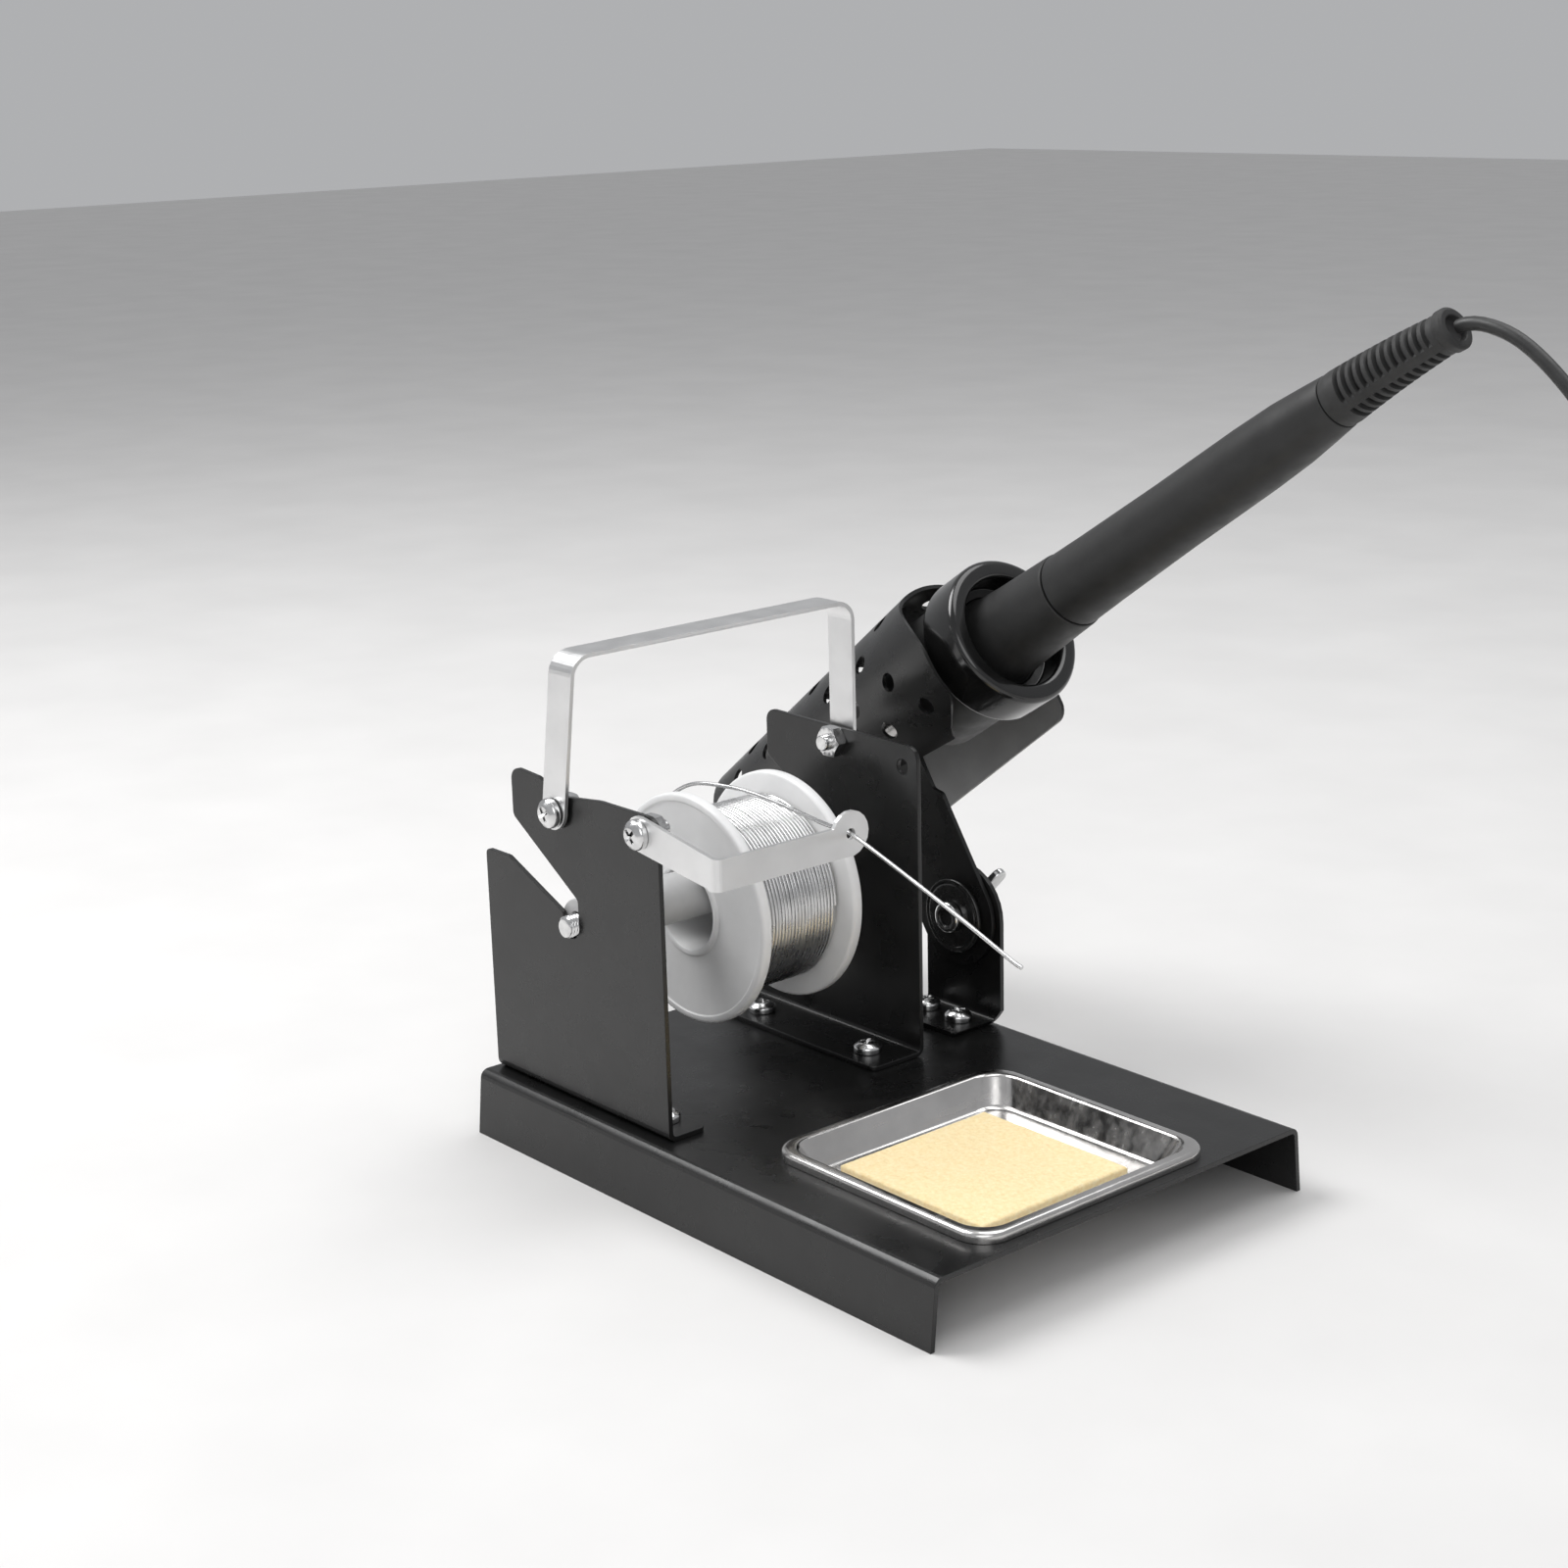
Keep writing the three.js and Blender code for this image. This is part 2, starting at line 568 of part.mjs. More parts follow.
function ironHolder() {
  const far = HOLDER.length + 20;
  const inside = turned([
    [0, -far], [coneRadius(-far) - HOLDER_SHEET, -far], [coneRadius(40) - HOLDER_SHEET, 40], [0, 40],
  ], 'z', 60);
  const tab = cut(pivotTab(), [inside]);
  return cut(join([rolledSheet(), tab]), ventHoles());
}

// The glossy collar in the mouth, with a neck that reaches back to the sheet.
function holderRing() {
  const { back, front, radius, bore, step } = RING;
  const seat = -12;
  const neck = 16.4;
  return turned([
    [step, seat], [neck, seat], [neck, back - 3], [radius - 1, back], [radius, back + 1.2], [radius, front - 1.6],
    [radius - 0.5, front - 0.5], [radius - 1.6, front], [bore + 0.8, front], [bore, front - 0.8],
    [bore, front - 7], [step, front - 7.5], [step, seat],
  ], 'z', 32);
}

// ---------------------------------------------------------------- iron
function ironCollar() {
  return turned([
    [0, 8], [11.2, 8], [11.2, 14], [10.8, 20], [10.5, 26], [10.0, 36], [9.5, IRON.seam - 0.5],
    [9.2, IRON.seam - 0.3], [0, IRON.seam - 0.3],
  ], 'z', 24);
}

function ironHandle() {
  const { seam, neck } = IRON;
  return turned([
    [0, seam], [9.1, seam], [9.3, seam + 0.4], [9.0, seam + 12], [8.6, seam + 26], [8.4, seam + 38],
    [8.2, seam + 52], [8.1, seam + 66], [7.7, seam + 78], [6.9, seam + 87], [6.4, neck - 0.6],
    [6.1, neck - 0.3], [0, neck - 0.3],
  ], 'z', 24);
}

// A moulded sleeve with two rows of slots beside a spine; its end hangs a little.
function strainRelief() {
  const { neck, end, sag } = IRON;
  const length = end - neck;
  const body = turned([
    [0, neck], [6.2, neck], [6.3, neck + 2], [5.3, neck + 18], [4.5, end - 3.4], [4.5, end - 2.6],
    [4.9, end - 2.2], [4.9, end - 0.3], [4.6, end], [0, end],
  ], 'z', 16);
  const slots = 12;
  const pitch = (length - 7.8) / slots;
  let shape = solid(body);
  const spine = solid(new THREE.BoxGeometry(20, 2.6, 2 * length).rotateZ(radians(-53)).translate(0, 0, neck));
  for (let k = 0; k < slots; k++) {
    const z = neck + 4.6 + k * pitch;
    const depth = 4.9 - 1.5 * k / slots;
    const groove = turnedTube([[8, z], [8, z + pitch * 0.55]], depth, 'z', 16);
    shape = shape.subtract(solid(groove).subtract(spine));
  }
  const relief = geometryOf(shape);
  const place = relief.attributes.position;
  for (let i = 0; i < place.count; i++) {
    const share = (place.getZ(i) - neck) / length;
    place.setX(i, place.getX(i) + sag * share * share);
  }
  return relief;
}

function barrelNut() {
  return turned([[0, -10], [7.6, -10], [8.4, -8.5], [8.4, 6], [7.8, 7.7], [0, 7.7]], 'z', 16);
}

function heaterBarrel() {
  return turned([[0, -50], [4.6, -50], [5.2, -49.2], [5.2, -10.3], [0, -10.3]], 'z');
}

function solderingTip() {
  return turned([[0, -88], [0.5, -87.6], [2.4, -72], [2.4, -50.3], [0, -50.3]], 'z', 16);
}

// ---------------------------------------------------------------- pivot hardware
// A wing nut on its own y axis: a tapered hub and two flat wings that flare away from the sheet.
function wingNut() {
  const hub = turned([[0, 0], [5, 0], [4.2, 5.5], [0, 5.5]], 'y', 20);
  const wing = prismZ(outline([[2.5, 1, 0], [6.5, 1, 1], [13.4, 5.4, 1.8], [12, 9.2, 1.8], [2.5, 4.8, 0]]), -0.9, 0.9);
  const other = wing.clone().rotateY(Math.PI);
  const bore = turned([[0, -1], [HEAD.hole, -1], [HEAD.hole, 7], [0, 7]], 'y', 16);
  return cut(join([hub, wing, other]), [bore]);
}

function pivotBolt() {
  return turned([
    [0, 0], [3.4, 0], [4, 0.7], [4, 2.2], [HEAD.shank, 2.2], [HEAD.shank, 14.5], [0, 14.5],
  ], 'y');
}

// ---------------------------------------------------------------- cord and plug
const UPPER_ROUTE = [
  [187.05, 195.9], [188.7, 196.5], [191.8, 196.8], [196, 196.2], [200.8, 194.6], [206, 191.6], [213.4, 185.6],
  [224, 174], [233, 158], [239.5, 140], [244, 122],
];
const LOWER_ROUTE = [
  [244.1, 121.7], [247.5, 100], [250, 76], [252.3, 54], [255.2, 34], [260.5, 18], [269.5, 7.5],
  [279, 3], [COIL.x - 12, 1.55],
];
const inPlane = ([x, z]) => [x, CORD.y, z];
const PLUG = { x: COIL.x - 27, y: CORD.y + 2 * COIL_OUTER + 4, z: 7.1, length: 34, pin: 18 };
const TAIL_ROUTE = [
  [COIL.x - 12, PLUG.y - 4, 4.7], [COIL.x - 17, PLUG.y - 3, 5.2], [COIL.x - 22, PLUG.y - 0.9, 6.6],
  [PLUG.x + 0.3, PLUG.y, PLUG.z],
];

function cordCoil() {
  const d = 2 * CORD.radius;
  const high = COIL.layers * d + 0.3;
  const [inner, outer] = [COIL.inner - CORD.radius, COIL_OUTER + CORD.radius];
  return turnedTube([[outer - 0.7, 0.05], [outer, 0.8], [outer, high - 0.8], [outer - 0.7, high]], inner, 'z', 32);
}

// A band round the coil's bundle on the side away from the lead-in.
function cordTie() {
  const d = 2 * CORD.radius;
  const gap = 0.35;
  const [inner, outer] = [COIL.inner - CORD.radius - gap, COIL_OUTER + CORD.radius + gap];
  const high = COIL.layers * d + 0.3 + gap;
  const arch = new THREE.Shape();
  arch.moveTo(inner - 0.7, 0.02);
  arch.lineTo(inner, 0.02);
  arch.lineTo(inner, high);
  arch.lineTo(outer, high);
  arch.lineTo(outer, 0.02);
  arch.lineTo(outer + 0.7, 0.02);
  arch.lineTo(outer + 0.7, high + 0.7);
  arch.lineTo(inner - 0.7, high + 0.7);
  return prismY(arch, -2.5, 2.5);
}

// A flat two-pin plug: a tapered neck that grips the cord, then the grip.
function plugBody() {
  const { length } = PLUG;
  const section = (along, wide, high) => rectangleRing(0, 0, high, wide, Math.min(high, wide) * 0.8, along);
  return loft([
    section(0, 2.6, 2.6), section(9, 4.0, 3.4), section(14, 8.5, 5.6), section(19, 12.6, 6.6),
    section(length - 2, 13.6, 7.0), section(length, 12.8, 6.4),
  ]);
}

function plugPin() {
  const { length, pin } = PLUG;
  return turned([[0, length + 0.3], [2, length + 0.3], [2, length + pin - 1.2], [1.1, length + pin], [0, length + pin]],
    'z', 12);
}

// ---------------------------------------------------------------- assembly
const station = new THREE.Group();
const cord = new THREE.Group();

add(station, 'base_plate', basePlate(), painted());
add(station, 'sponge_tray', spongeTray(), steel());
add(station, 'sponge', sponge(), cellulose());
add(station, 'front_bracket', frontBracket(), painted());
add(station, 'rear_bracket', rearBracket(), painted());
add(station, 'upright', upright(), painted());
FOOT_SCREWS.forEach(([x, y], i) => {
  const screw = add(station, `foot_screw_${i + 1}`, panScrew(4.4), zinc());
  screw.rotation.x = Math.PI / 2;
  screw.position.set(x, y, FOOT_TOP + FILM);
});

// A screw whose head faces the front has its axis turned round to -y.
function faceFront(name, geometry, x, y, z) {
  const mesh = add(station, name, geometry, zinc());
  mesh.rotation.x = Math.PI;
  mesh.position.set(x, y, z);
}
const { frontX, frontZ, rearX, rearZ } = HANDLE_HOLES;
add(station, 'handle_strap', handleStrap(), steel());
faceFront('handle_screw_front', panScrew(8.2), frontX, HANDLE.front - STRAP / 2 - SWING_GAP, frontZ);
const frontNut = add(station, 'handle_nut_front', hexNut(3), zinc());
frontNut.position.set(frontX, BRACKET.front + SHEET + FILM, frontZ);
const rearScrew = add(station, 'handle_screw_rear', panScrew(8.2), zinc());
rearScrew.position.set(rearX, HANDLE.rear + STRAP / 2 + SWING_GAP, rearZ);
const rearNut = add(station, 'handle_nut_rear', hexNut(3), zinc());
rearNut.position.set(rearX, BRACKET.rear - FILM - 3, rearZ);

add(station, 'guide_arm', guideArm(), steel());
faceFront('arm_screw', panScrew(7.6), ARM_HOLE.x, ARM.y - STRAP / 2 - FILM, ARM_HOLE.z);
const armNut = add(station, 'arm_nut', hexNut(3), zinc());
armNut.position.set(ARM_HOLE.x, BRACKET.front + SHEET + FILM, ARM_HOLE.z);
add(station, 'solder_strand', tube(STRAND, WIRE_RADIUS, 26, 6), solder());
add(station, 'solder_lead', tube(LEAD, WIRE_RADIUS, 12, 6), solder());

const axle = turned([
  [0, AXLE.front], [AXLE.radius - 0.5, AXLE.front], [AXLE.radius, AXLE.front + 0.5],
  [AXLE.radius, AXLE.rear - 0.5], [AXLE.radius - 0.5, AXLE.rear], [0, AXLE.rear],
], 'y');
add(station, 'reel_axle', axle, zinc()).position.set(AXLE.x, 0, AXLE.z);
const sleeve = turnedTube([[SLEEVE.radius, SLEEVE.front], [SLEEVE.radius, SLEEVE.rear]], SLEEVE.bore, 'y');
add(station, 'axle_sleeve', sleeve, greyPlastic()).position.set(AXLE.x, 0, AXLE.z);
add(station, 'spool', spool(), nylon()).position.set(AXLE.x, 0, SPOOL.z);
add(station, 'solder_winding', winding(), solder()).position.set(AXLE.x, 0, SPOOL.z);

const tilted = new THREE.Group();
tilted.position.set(HOLDER.x, HOLDER.y, HOLDER.z);
tilted.rotation.y = radians(90 - HOLDER.tilt);
station.add(tilted);
add(tilted, 'iron_holder', ironHolder(), painted());
add(tilted, 'holder_ring', holderRing(), bakelite());
add(tilted, 'iron_collar', ironCollar(), grip());
add(tilted, 'iron_handle', ironHandle(), grip());
add(tilted, 'strain_relief', strainRelief(), rubber());
add(tilted, 'barrel_nut', barrelNut(), zinc());
add(tilted, 'heater_barrel', heaterBarrel(), steel());
add(tilted, 'soldering_tip', solderingTip(), copper());

const washer = turnedTube([[9, 0], [9.5, 0.4], [9.5, 1.2]], HEAD.hole, 'y', 32);
const tabFace = HOLDER.y + TAB.front;
add(station, 'pivot_washer', washer, painted()).position.set(PIVOT.x, tabFace - 0.3 - 1.2, PIVOT.z);
add(station, 'pivot_bolt', pivotBolt(), bakelite()).position.set(PIVOT.x, tabFace - 0.3 - 1.2 - FILM - 2.2, PIVOT.z);
const nut = add(station, 'wing_nut', wingNut(), zinc());
nut.position.set(PIVOT.x, UPRIGHT.front + SHEET + 0.3, PIVOT.z);
nut.rotation.y = radians(-58.7);

add(cord, 'cord_upper', tube(UPPER_ROUTE.map(inPlane), CORD.radius, 22), rubber());
add(cord, 'cord_lower', tube(LOWER_ROUTE.map(inPlane), CORD.radius, 26), rubber());
add(cord, 'cord_coil', cordCoil(), rubber()).position.set(COIL.x, COIL_Y, 0);
const tie = add(cord, 'cord_tie', cordTie(), grip());
tie.position.set(COIL.x, COIL_Y, 0);
add(cord, 'cord_tail', tube(TAIL_ROUTE, CORD.radius, 8), rubber());
const plug = new THREE.Group();
plug.position.set(PLUG.x, PLUG.y, PLUG.z);
plug.rotation.y = radians(-90);
add(plug, 'plug_body', plugBody(), grip());
add(plug, 'plug_pin_left', plugPin(), zinc()).position.y = 9.5;
add(plug, 'plug_pin_right', plugPin(), zinc()).position.y = -9.5;
cord.add(plug);

// The origin is the centre of the footprint of everything but the free cord.
station.updateMatrixWorld(true);
const box = new THREE.Box3().setFromObject(station, true);
const centre = box.getCenter(new THREE.Vector3());
station.add(cord);
station.position.set(-centre.x, -centre.y, 0);

const group = new THREE.Group();
group.add(station);
export default group;
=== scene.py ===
import json
import math

import bpy
from mathutils import Matrix, Vector, noise

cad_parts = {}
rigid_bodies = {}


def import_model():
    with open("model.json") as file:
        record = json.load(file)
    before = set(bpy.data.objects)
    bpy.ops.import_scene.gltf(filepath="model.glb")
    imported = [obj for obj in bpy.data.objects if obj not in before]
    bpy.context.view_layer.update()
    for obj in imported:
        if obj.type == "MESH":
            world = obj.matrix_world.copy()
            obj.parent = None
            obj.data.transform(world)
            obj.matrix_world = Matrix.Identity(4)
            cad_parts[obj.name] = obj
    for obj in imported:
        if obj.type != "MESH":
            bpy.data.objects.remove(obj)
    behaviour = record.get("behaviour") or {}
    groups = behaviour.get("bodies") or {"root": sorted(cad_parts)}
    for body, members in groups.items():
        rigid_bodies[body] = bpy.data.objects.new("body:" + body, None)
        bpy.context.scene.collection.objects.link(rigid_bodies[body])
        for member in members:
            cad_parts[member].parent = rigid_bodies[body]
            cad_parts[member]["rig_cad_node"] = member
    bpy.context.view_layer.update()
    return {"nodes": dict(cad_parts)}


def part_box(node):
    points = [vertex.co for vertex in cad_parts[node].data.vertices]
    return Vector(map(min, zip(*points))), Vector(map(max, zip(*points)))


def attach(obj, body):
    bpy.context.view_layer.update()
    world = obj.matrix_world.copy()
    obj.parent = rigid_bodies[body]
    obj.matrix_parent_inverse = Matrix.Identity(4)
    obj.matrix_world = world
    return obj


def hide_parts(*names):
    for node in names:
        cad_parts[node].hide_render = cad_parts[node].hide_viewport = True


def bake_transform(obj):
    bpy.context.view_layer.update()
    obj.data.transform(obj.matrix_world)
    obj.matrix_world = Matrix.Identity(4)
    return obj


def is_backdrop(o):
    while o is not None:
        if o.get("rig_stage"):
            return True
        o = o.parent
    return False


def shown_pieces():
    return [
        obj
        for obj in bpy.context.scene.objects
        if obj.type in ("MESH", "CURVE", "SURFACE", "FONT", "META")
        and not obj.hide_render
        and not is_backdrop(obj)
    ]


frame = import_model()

# ---------------------------------------------------------------- driving dimensions
MM = 0.001
SHEET = 1.2                     # thickness of the black folded steel
FILM = 0.05                     # gap between two stacked sheets
BASE = dict(length=160, width=113.3, top=16)
FOOT_TOP = BASE["top"] + FILM + SHEET
FOOT_SCREWS = [(19, 10.9), (59, 10.9), (19, 73.7), (59, 73.7), (46.5, 105.5), (58.6, 104.8)]
TRAY = dict(x=123.1, y=52.1, half_x=34.1, half_y=35.9, corner=5.6)
SPONGE = dict(x=123, y=50.1, side=45, bottom=11.3, top=14.1)
BRACKET = dict(front=4.6, rear=82.5)
INNER_FACE = BRACKET["front"] + SHEET + FILM
NUT_HEIGHT = 3
AXLE = dict(x=34.4, z=59.9, radius=2.7, front=2.6, rear=86, pitch=0.8)
SLEEVE = dict(radius=5.9, bore=2.95, front=6.3, rear=82)
SPOOL = dict(z=56.1, radius=28.2, front=38.7, rear=69.9, flange=3, bore=10, barrel=12.5)
WINDING_RADIUS = 23.5
WIRE_RADIUS = 0.5
HANDLE = dict(front=3.4, rear=84.9, strap=1.0)
HANDLE_SCREWS = dict(front=(31.9, 87.0), rear=(39.7, 90.6))
SWING_GAP = 0.35                # room under the heads of the handle's screws
ARM_SCREW = (63.3, 88.2)
ARM_Y = 3.85
UPRIGHT_FRONT = 111.1
PIVOT = (53, 42.5)
PIVOT_HOLE = 2.2
DISC = dict(gap=0.3, thickness=1.2)
WING_TURN = math.radians(-58.7) # how far the wing nut is turned at rest
HOLDER = dict(x=42.2, y=123, z=102.4, tilt=33.44, radius=22.8, taper=0.08995, length=99.4, sheet=1.0)
WRAP_END = 232                  # degrees round the cone where the near edge of the sheet lies
TAIL = dict(low=39.4, high=4.4, low_drop=25.8, high_drop=20.3, corner=4)
TAB = dict(front=-13.4, station=-24, half_width=12.9, drop=55.9)
VENT_ROWS = [(47, -19), (73, -8), (99, -17), (125, -8), (151, -14), (177, -3), (203, 5)]
VENT_PITCH = 17.5
VENT_RADIUS = 2.4
RING = dict(back=10.3, front=22.5, radius=19.2, bore=14.4, step=12.1)
IRON = dict(seam=45.4, neck=138.2, end=171.9, sag=1.7)
RELIEF_SLOTS = 12
SPINE_TURN = math.radians(-53)  # where the strain relief's spine lies round it
CORD_RADIUS = 1.5
CORD_Y = 123
JUNCTION = (244, 122)           # x and z where the cord's two pieces meet
TABLE_END = (260.5, 18)         # x and z where the cord starts to follow the holder
COIL = dict(x=300, y=144.5, inner=12.5, outer=21.5, turns=3, floor=1.55, rise=3.05)
PLUG = dict(x=273, y=170, z=7.1, length=34, pin=18)
CAMERA = dict(azimuth=49.65, elevation=16.23, roll=-1.47, distance=626.7, lens=62.2,
              shift=(-0.0052, 0.025), target=(61.67, 49.08, 80.88))

base_low, base_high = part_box("base_plate")
CORNER = (base_low + base_high) / 2 - Vector((BASE["length"], BASE["width"], 0)) / 2 * MM
CORNER.z = 0


def at(x, y, z):
    return CORNER + Vector((x, y, z)) * MM


# ---------------------------------------------------------------- camera
def make_camera():
    """The camera looks at a point beside the reel, turned and tipped by the three angles."""
    azimuth, elevation, roll = (math.radians(CAMERA[k]) for k in ("azimuth", "elevation", "roll"))
    distance = CAMERA["distance"] * MM
    target = at(*CAMERA["target"])
    forward = Vector((
        -math.sin(azimuth) * math.cos(elevation),
        math.cos(azimuth) * math.cos(elevation),
        -math.sin(elevation),
    ))
    level = Vector((math.cos(azimuth), math.sin(azimuth), 0))
    upward = level.cross(forward)
    right = level * math.cos(roll) + upward * math.sin(roll)
    top = upward * math.cos(roll) - level * math.sin(roll)
    turn = Matrix((right, top, -forward)).transposed().to_4x4()
    data = bpy.data.cameras.new("camera")
    data.lens = CAMERA["lens"]
    data.shift_x, data.shift_y = CAMERA["shift"]
    data.clip_start = 0.01
    camera = bpy.data.objects.new("camera", data)
    bpy.context.scene.collection.objects.link(camera)
    camera.matrix_world = Matrix.Translation(target - forward * distance) @ turn
    bpy.context.scene.camera = camera


make_camera()

# ---------------------------------------------------------------- placements
UP = Matrix.Identity(4)
TO_BACK = Matrix.Rotation(math.radians(-90), 4, "X")    # a piece's own z points along +y
TO_FRONT = Matrix.Rotation(math.radians(90), 4, "X")    # a piece's own z points along -y
TO_LEFT = Matrix.Rotation(math.radians(-90), 4, "Y")    # a piece's own z points along -x


def placed(x, y, z, turn=UP):
    return Matrix.Translation(at(x, y, z)) @ turn


# The holder's own frame: z runs up the cone's axis from the mouth, x points downwards across it.
TILTED = placed(HOLDER["x"], HOLDER["y"], HOLDER["z"],
                Matrix.Rotation(math.radians(90 - HOLDER["tilt"]), 4, "Y"))


# ---------------------------------------------------------------- mesh helpers
def smoothstep(value, low, high):
    t = min(1, max(0, (value - low) / (high - low)))
    return t * t * (3 - 2 * t)


def build(name, points, faces, placement=UP, crease=35):
    """A mesh object from points in millimetres, shaded smooth except along sharp edges."""
    mesh = bpy.data.meshes.new(name)
    mesh.from_pydata([Vector(p) * MM for p in points], [], faces)
    mesh.validate()
    shade(mesh, crease)
    piece = bpy.data.objects.new(name, mesh)
    bpy.context.scene.collection.objects.link(piece)
    piece.matrix_world = placement
    return piece


def shade(mesh, crease):
    mesh.polygons.foreach_set("use_smooth", [True] * len(mesh.polygons))
    mesh.set_sharp_from_angle(angle=math.radians(crease))


def finish(piece, material, body, nodes=()):
    """Gives a piece its material and slot, rides it on its body and hides the nodes it replaces."""
    piece.data.materials.clear()
    piece.data.materials.append(material)
    if body:
        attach(piece, body)
    if nodes:
        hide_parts(*nodes)
    return piece


def paint_faces(piece, material, chosen):
    """Gives a second material to the faces that chosen(centre in millimetres, normal) picks."""
    piece.data.materials.append(material)
    last = len(piece.data.materials) - 1
    for face in piece.data.polygons:
        if chosen(face.center / MM, face.normal):
            face.material_index = last


def rounded(corners, steps=4):
    """A line through (a, b, fillet radius) corners, with an arc of that radius at each of them."""
    line = []
    for i, (a, b, radius) in enumerate(corners):
        here = Vector((a, b))
        if not radius or i in (0, len(corners) - 1):
            line.append(here)
            continue
        into = (here - Vector(corners[i - 1][:2])).normalized()
        out = (Vector(corners[i + 1][:2]) - here).normalized()
        turn = math.atan2(into.x * out.y - into.y * out.x, into.dot(out))
        start = here - into * radius * math.tan(abs(turn) / 2)
        side = math.copysign(radius, turn)
        centre = start + Vector((-into.y, into.x)) * side
        arm = start - centre
        for k in range(steps + 1):
            line.append(centre + Matrix.Rotation(turn * k / steps, 2) @ arm)
    return line


def lathe(line, sides=72):
    """Points and faces of a line of (radius, height) turned about z. The line starts and ends on
    the axis, or comes back to its start."""
    ring = (line[0] - line[-1]).length < 1e-6
    if ring:
        line = line[:-1]
    points, rows = [], []
    for radius, height in line:
        if radius < 1e-6:
            rows.append([len(points)] * sides)
            points.append((0, 0, height))
            continue
        rows.append([len(points) + k for k in range(sides)])
        for k in range(sides):
            angle = 2 * math.pi * k / sides
            points.append((radius * math.cos(angle), radius * math.sin(angle), height))
    faces = []
    pairs = list(zip(rows, rows[1:]))
    if ring:
        pairs.append((rows[-1], rows[0]))
    for low, high in pairs:
        for k in range(sides):
            n = (k + 1) % sides
            corner = [low[k], low[n], high[n], high[k]]
            face = [v for i, v in enumerate(corner) if v not in corner[:i]]
            if len(face) > 2:
                faces.append(face)
    return points, faces


def grid(rows, columns, point, around=False, capped=False):
    """Points and faces of a sheet: point(i, j) over rows and columns, closed round the columns."""
    points = [point(i, j) for i in range(rows) for j in range(columns)]
    faces = []
    for i in range(rows - 1):
        for j in range(columns if around else columns - 1):
            n = (j + 1) % columns
            faces.append((i * columns + j, i * columns + n, (i + 1) * columns + n, (i + 1) * columns + j))
    if capped:
        faces.append(tuple(range(columns))[::-1])
        faces.append(tuple((rows - 1) * columns + j for j in range(columns)))
    return points, faces


def curve_through(corners, spacing):
    """Evenly spaced points on a smooth curve through the corners."""
    corners = [Vector(c) for c in corners]
    ends = [2 * corners[0] - corners[1]] + corners + [2 * corners[-1] - corners[-2]]
    fine = []
    for p0, p1, p2, p3 in zip(ends, ends[1:], ends[2:], ends[3:]):
        lengths = [max((b - a).length, 1e-6) ** 0.5 for a, b in ((p0, p1), (p1, p2), (p2, p3))]
        t1, t2, t3 = lengths[0], lengths[0] + lengths[1], sum(lengths)
        for k in range(40):
            t = t1 + (t2 - t1) * k / 40
            a = p0.lerp(p1, t / t1)
            b = p1.lerp(p2, (t - t1) / (t2 - t1))
            c = p2.lerp(p3, (t - t2) / (t3 - t2))
            fine.append(a.lerp(b, t / t2).lerp(b.lerp(c, (t - t1) / (t3 - t1)), (t - t1) / (t2 - t1)))
    fine.append(corners[-1])
    return resampled(fine, spacing)


def length_of(line):
    return sum((b - a).length for a, b in zip(line, line[1:]))


def resampled(line, spacing):
    count = max(2, round(length_of(line) / spacing))
    step = length_of(line) / count
    points, travelled, target = [line[0]], 0, step
    for a, b in zip(line, line[1:]):
        piece = (b - a).length
        while travelled + piece >= target - 1e-9 and len(points) < count:
            points.append(a.lerp(b, (target - travelled) / piece))
            target += step
        travelled += piece
    points.append(line[-1])
    return points


def swept(line, radius, sides=12):
    """Points and faces of a round wire along a line, with flat ends."""
    frames = []
    side = None
    for i, here in enumerate(line):
        along = (line[min(i + 1, len(line) - 1)] - line[max(i - 1, 0)]).normalized()
        if side is None:
            side = along.orthogonal().normalized()
        side = (side - along * side.dot(along)).normalized()
        frames.append((here, side.copy(), along.cross(side)))

    def point(i, j):
        here, across, other = frames[i]
        angle = 2 * math.pi * j / sides
        return here + (across * math.cos(angle) + other * math.sin(angle)) * radius

    return grid(len(line), sides, point, around=True, capped=True)


def plate(line, low, high):
    """Points and faces of an outline in (x, y), anticlockwise, that fills z from low to high."""
    count = len(line)
    points = [(x, y, low) for x, y in line] + [(x, y, high) for x, y in line]
    faces = [tuple(range(count))[::-1], tuple(range(count, 2 * count))]
    faces += [(k, (k + 1) % count, count + (k + 1) % count, count + k) for k in range(count)]
    return points, faces


def closed_outline(corners, steps=6):
    """A closed line through (x, y, fillet) corners."""
    line = rounded([corners[-1]] + list(corners) + [corners[0]], steps)
    return line[1:-1]


def together(*shapes):
    """Several (points, faces) as one."""
    points, faces = [], []
    for more, new in shapes:
        faces += [tuple(v + len(points) for v in face) for face in new]
        points += list(more)
    return points, faces


def moved(shape, matrix):
    points, faces = shape
    return [matrix @ Vector(p) for p in points], faces


def carve(piece, cutter_shape, operation="DIFFERENCE", crease=35):
    """Cuts a shape, in the piece's own millimetres, out of it or joins it on."""
    cutter = build("cutter", *cutter_shape, placement=piece.matrix_world)
    modifier = piece.modifiers.new("carve", "BOOLEAN")
    modifier.operation = operation
    modifier.solver = "EXACT"
    modifier.object = cutter
    bpy.context.view_layer.update()
    mesh = bpy.data.meshes.new_from_object(piece.evaluated_get(bpy.context.evaluated_depsgraph_get()))
    piece.modifiers.clear()
    piece.data = mesh
    bpy.data.objects.remove(cutter)
    shade(mesh, crease)


def shape_of(piece):
    """A piece's points in millimetres and its faces."""
    mesh = piece.data
    return [v.co / MM for v in mesh.vertices], [tuple(p.vertices) for p in mesh.polygons]


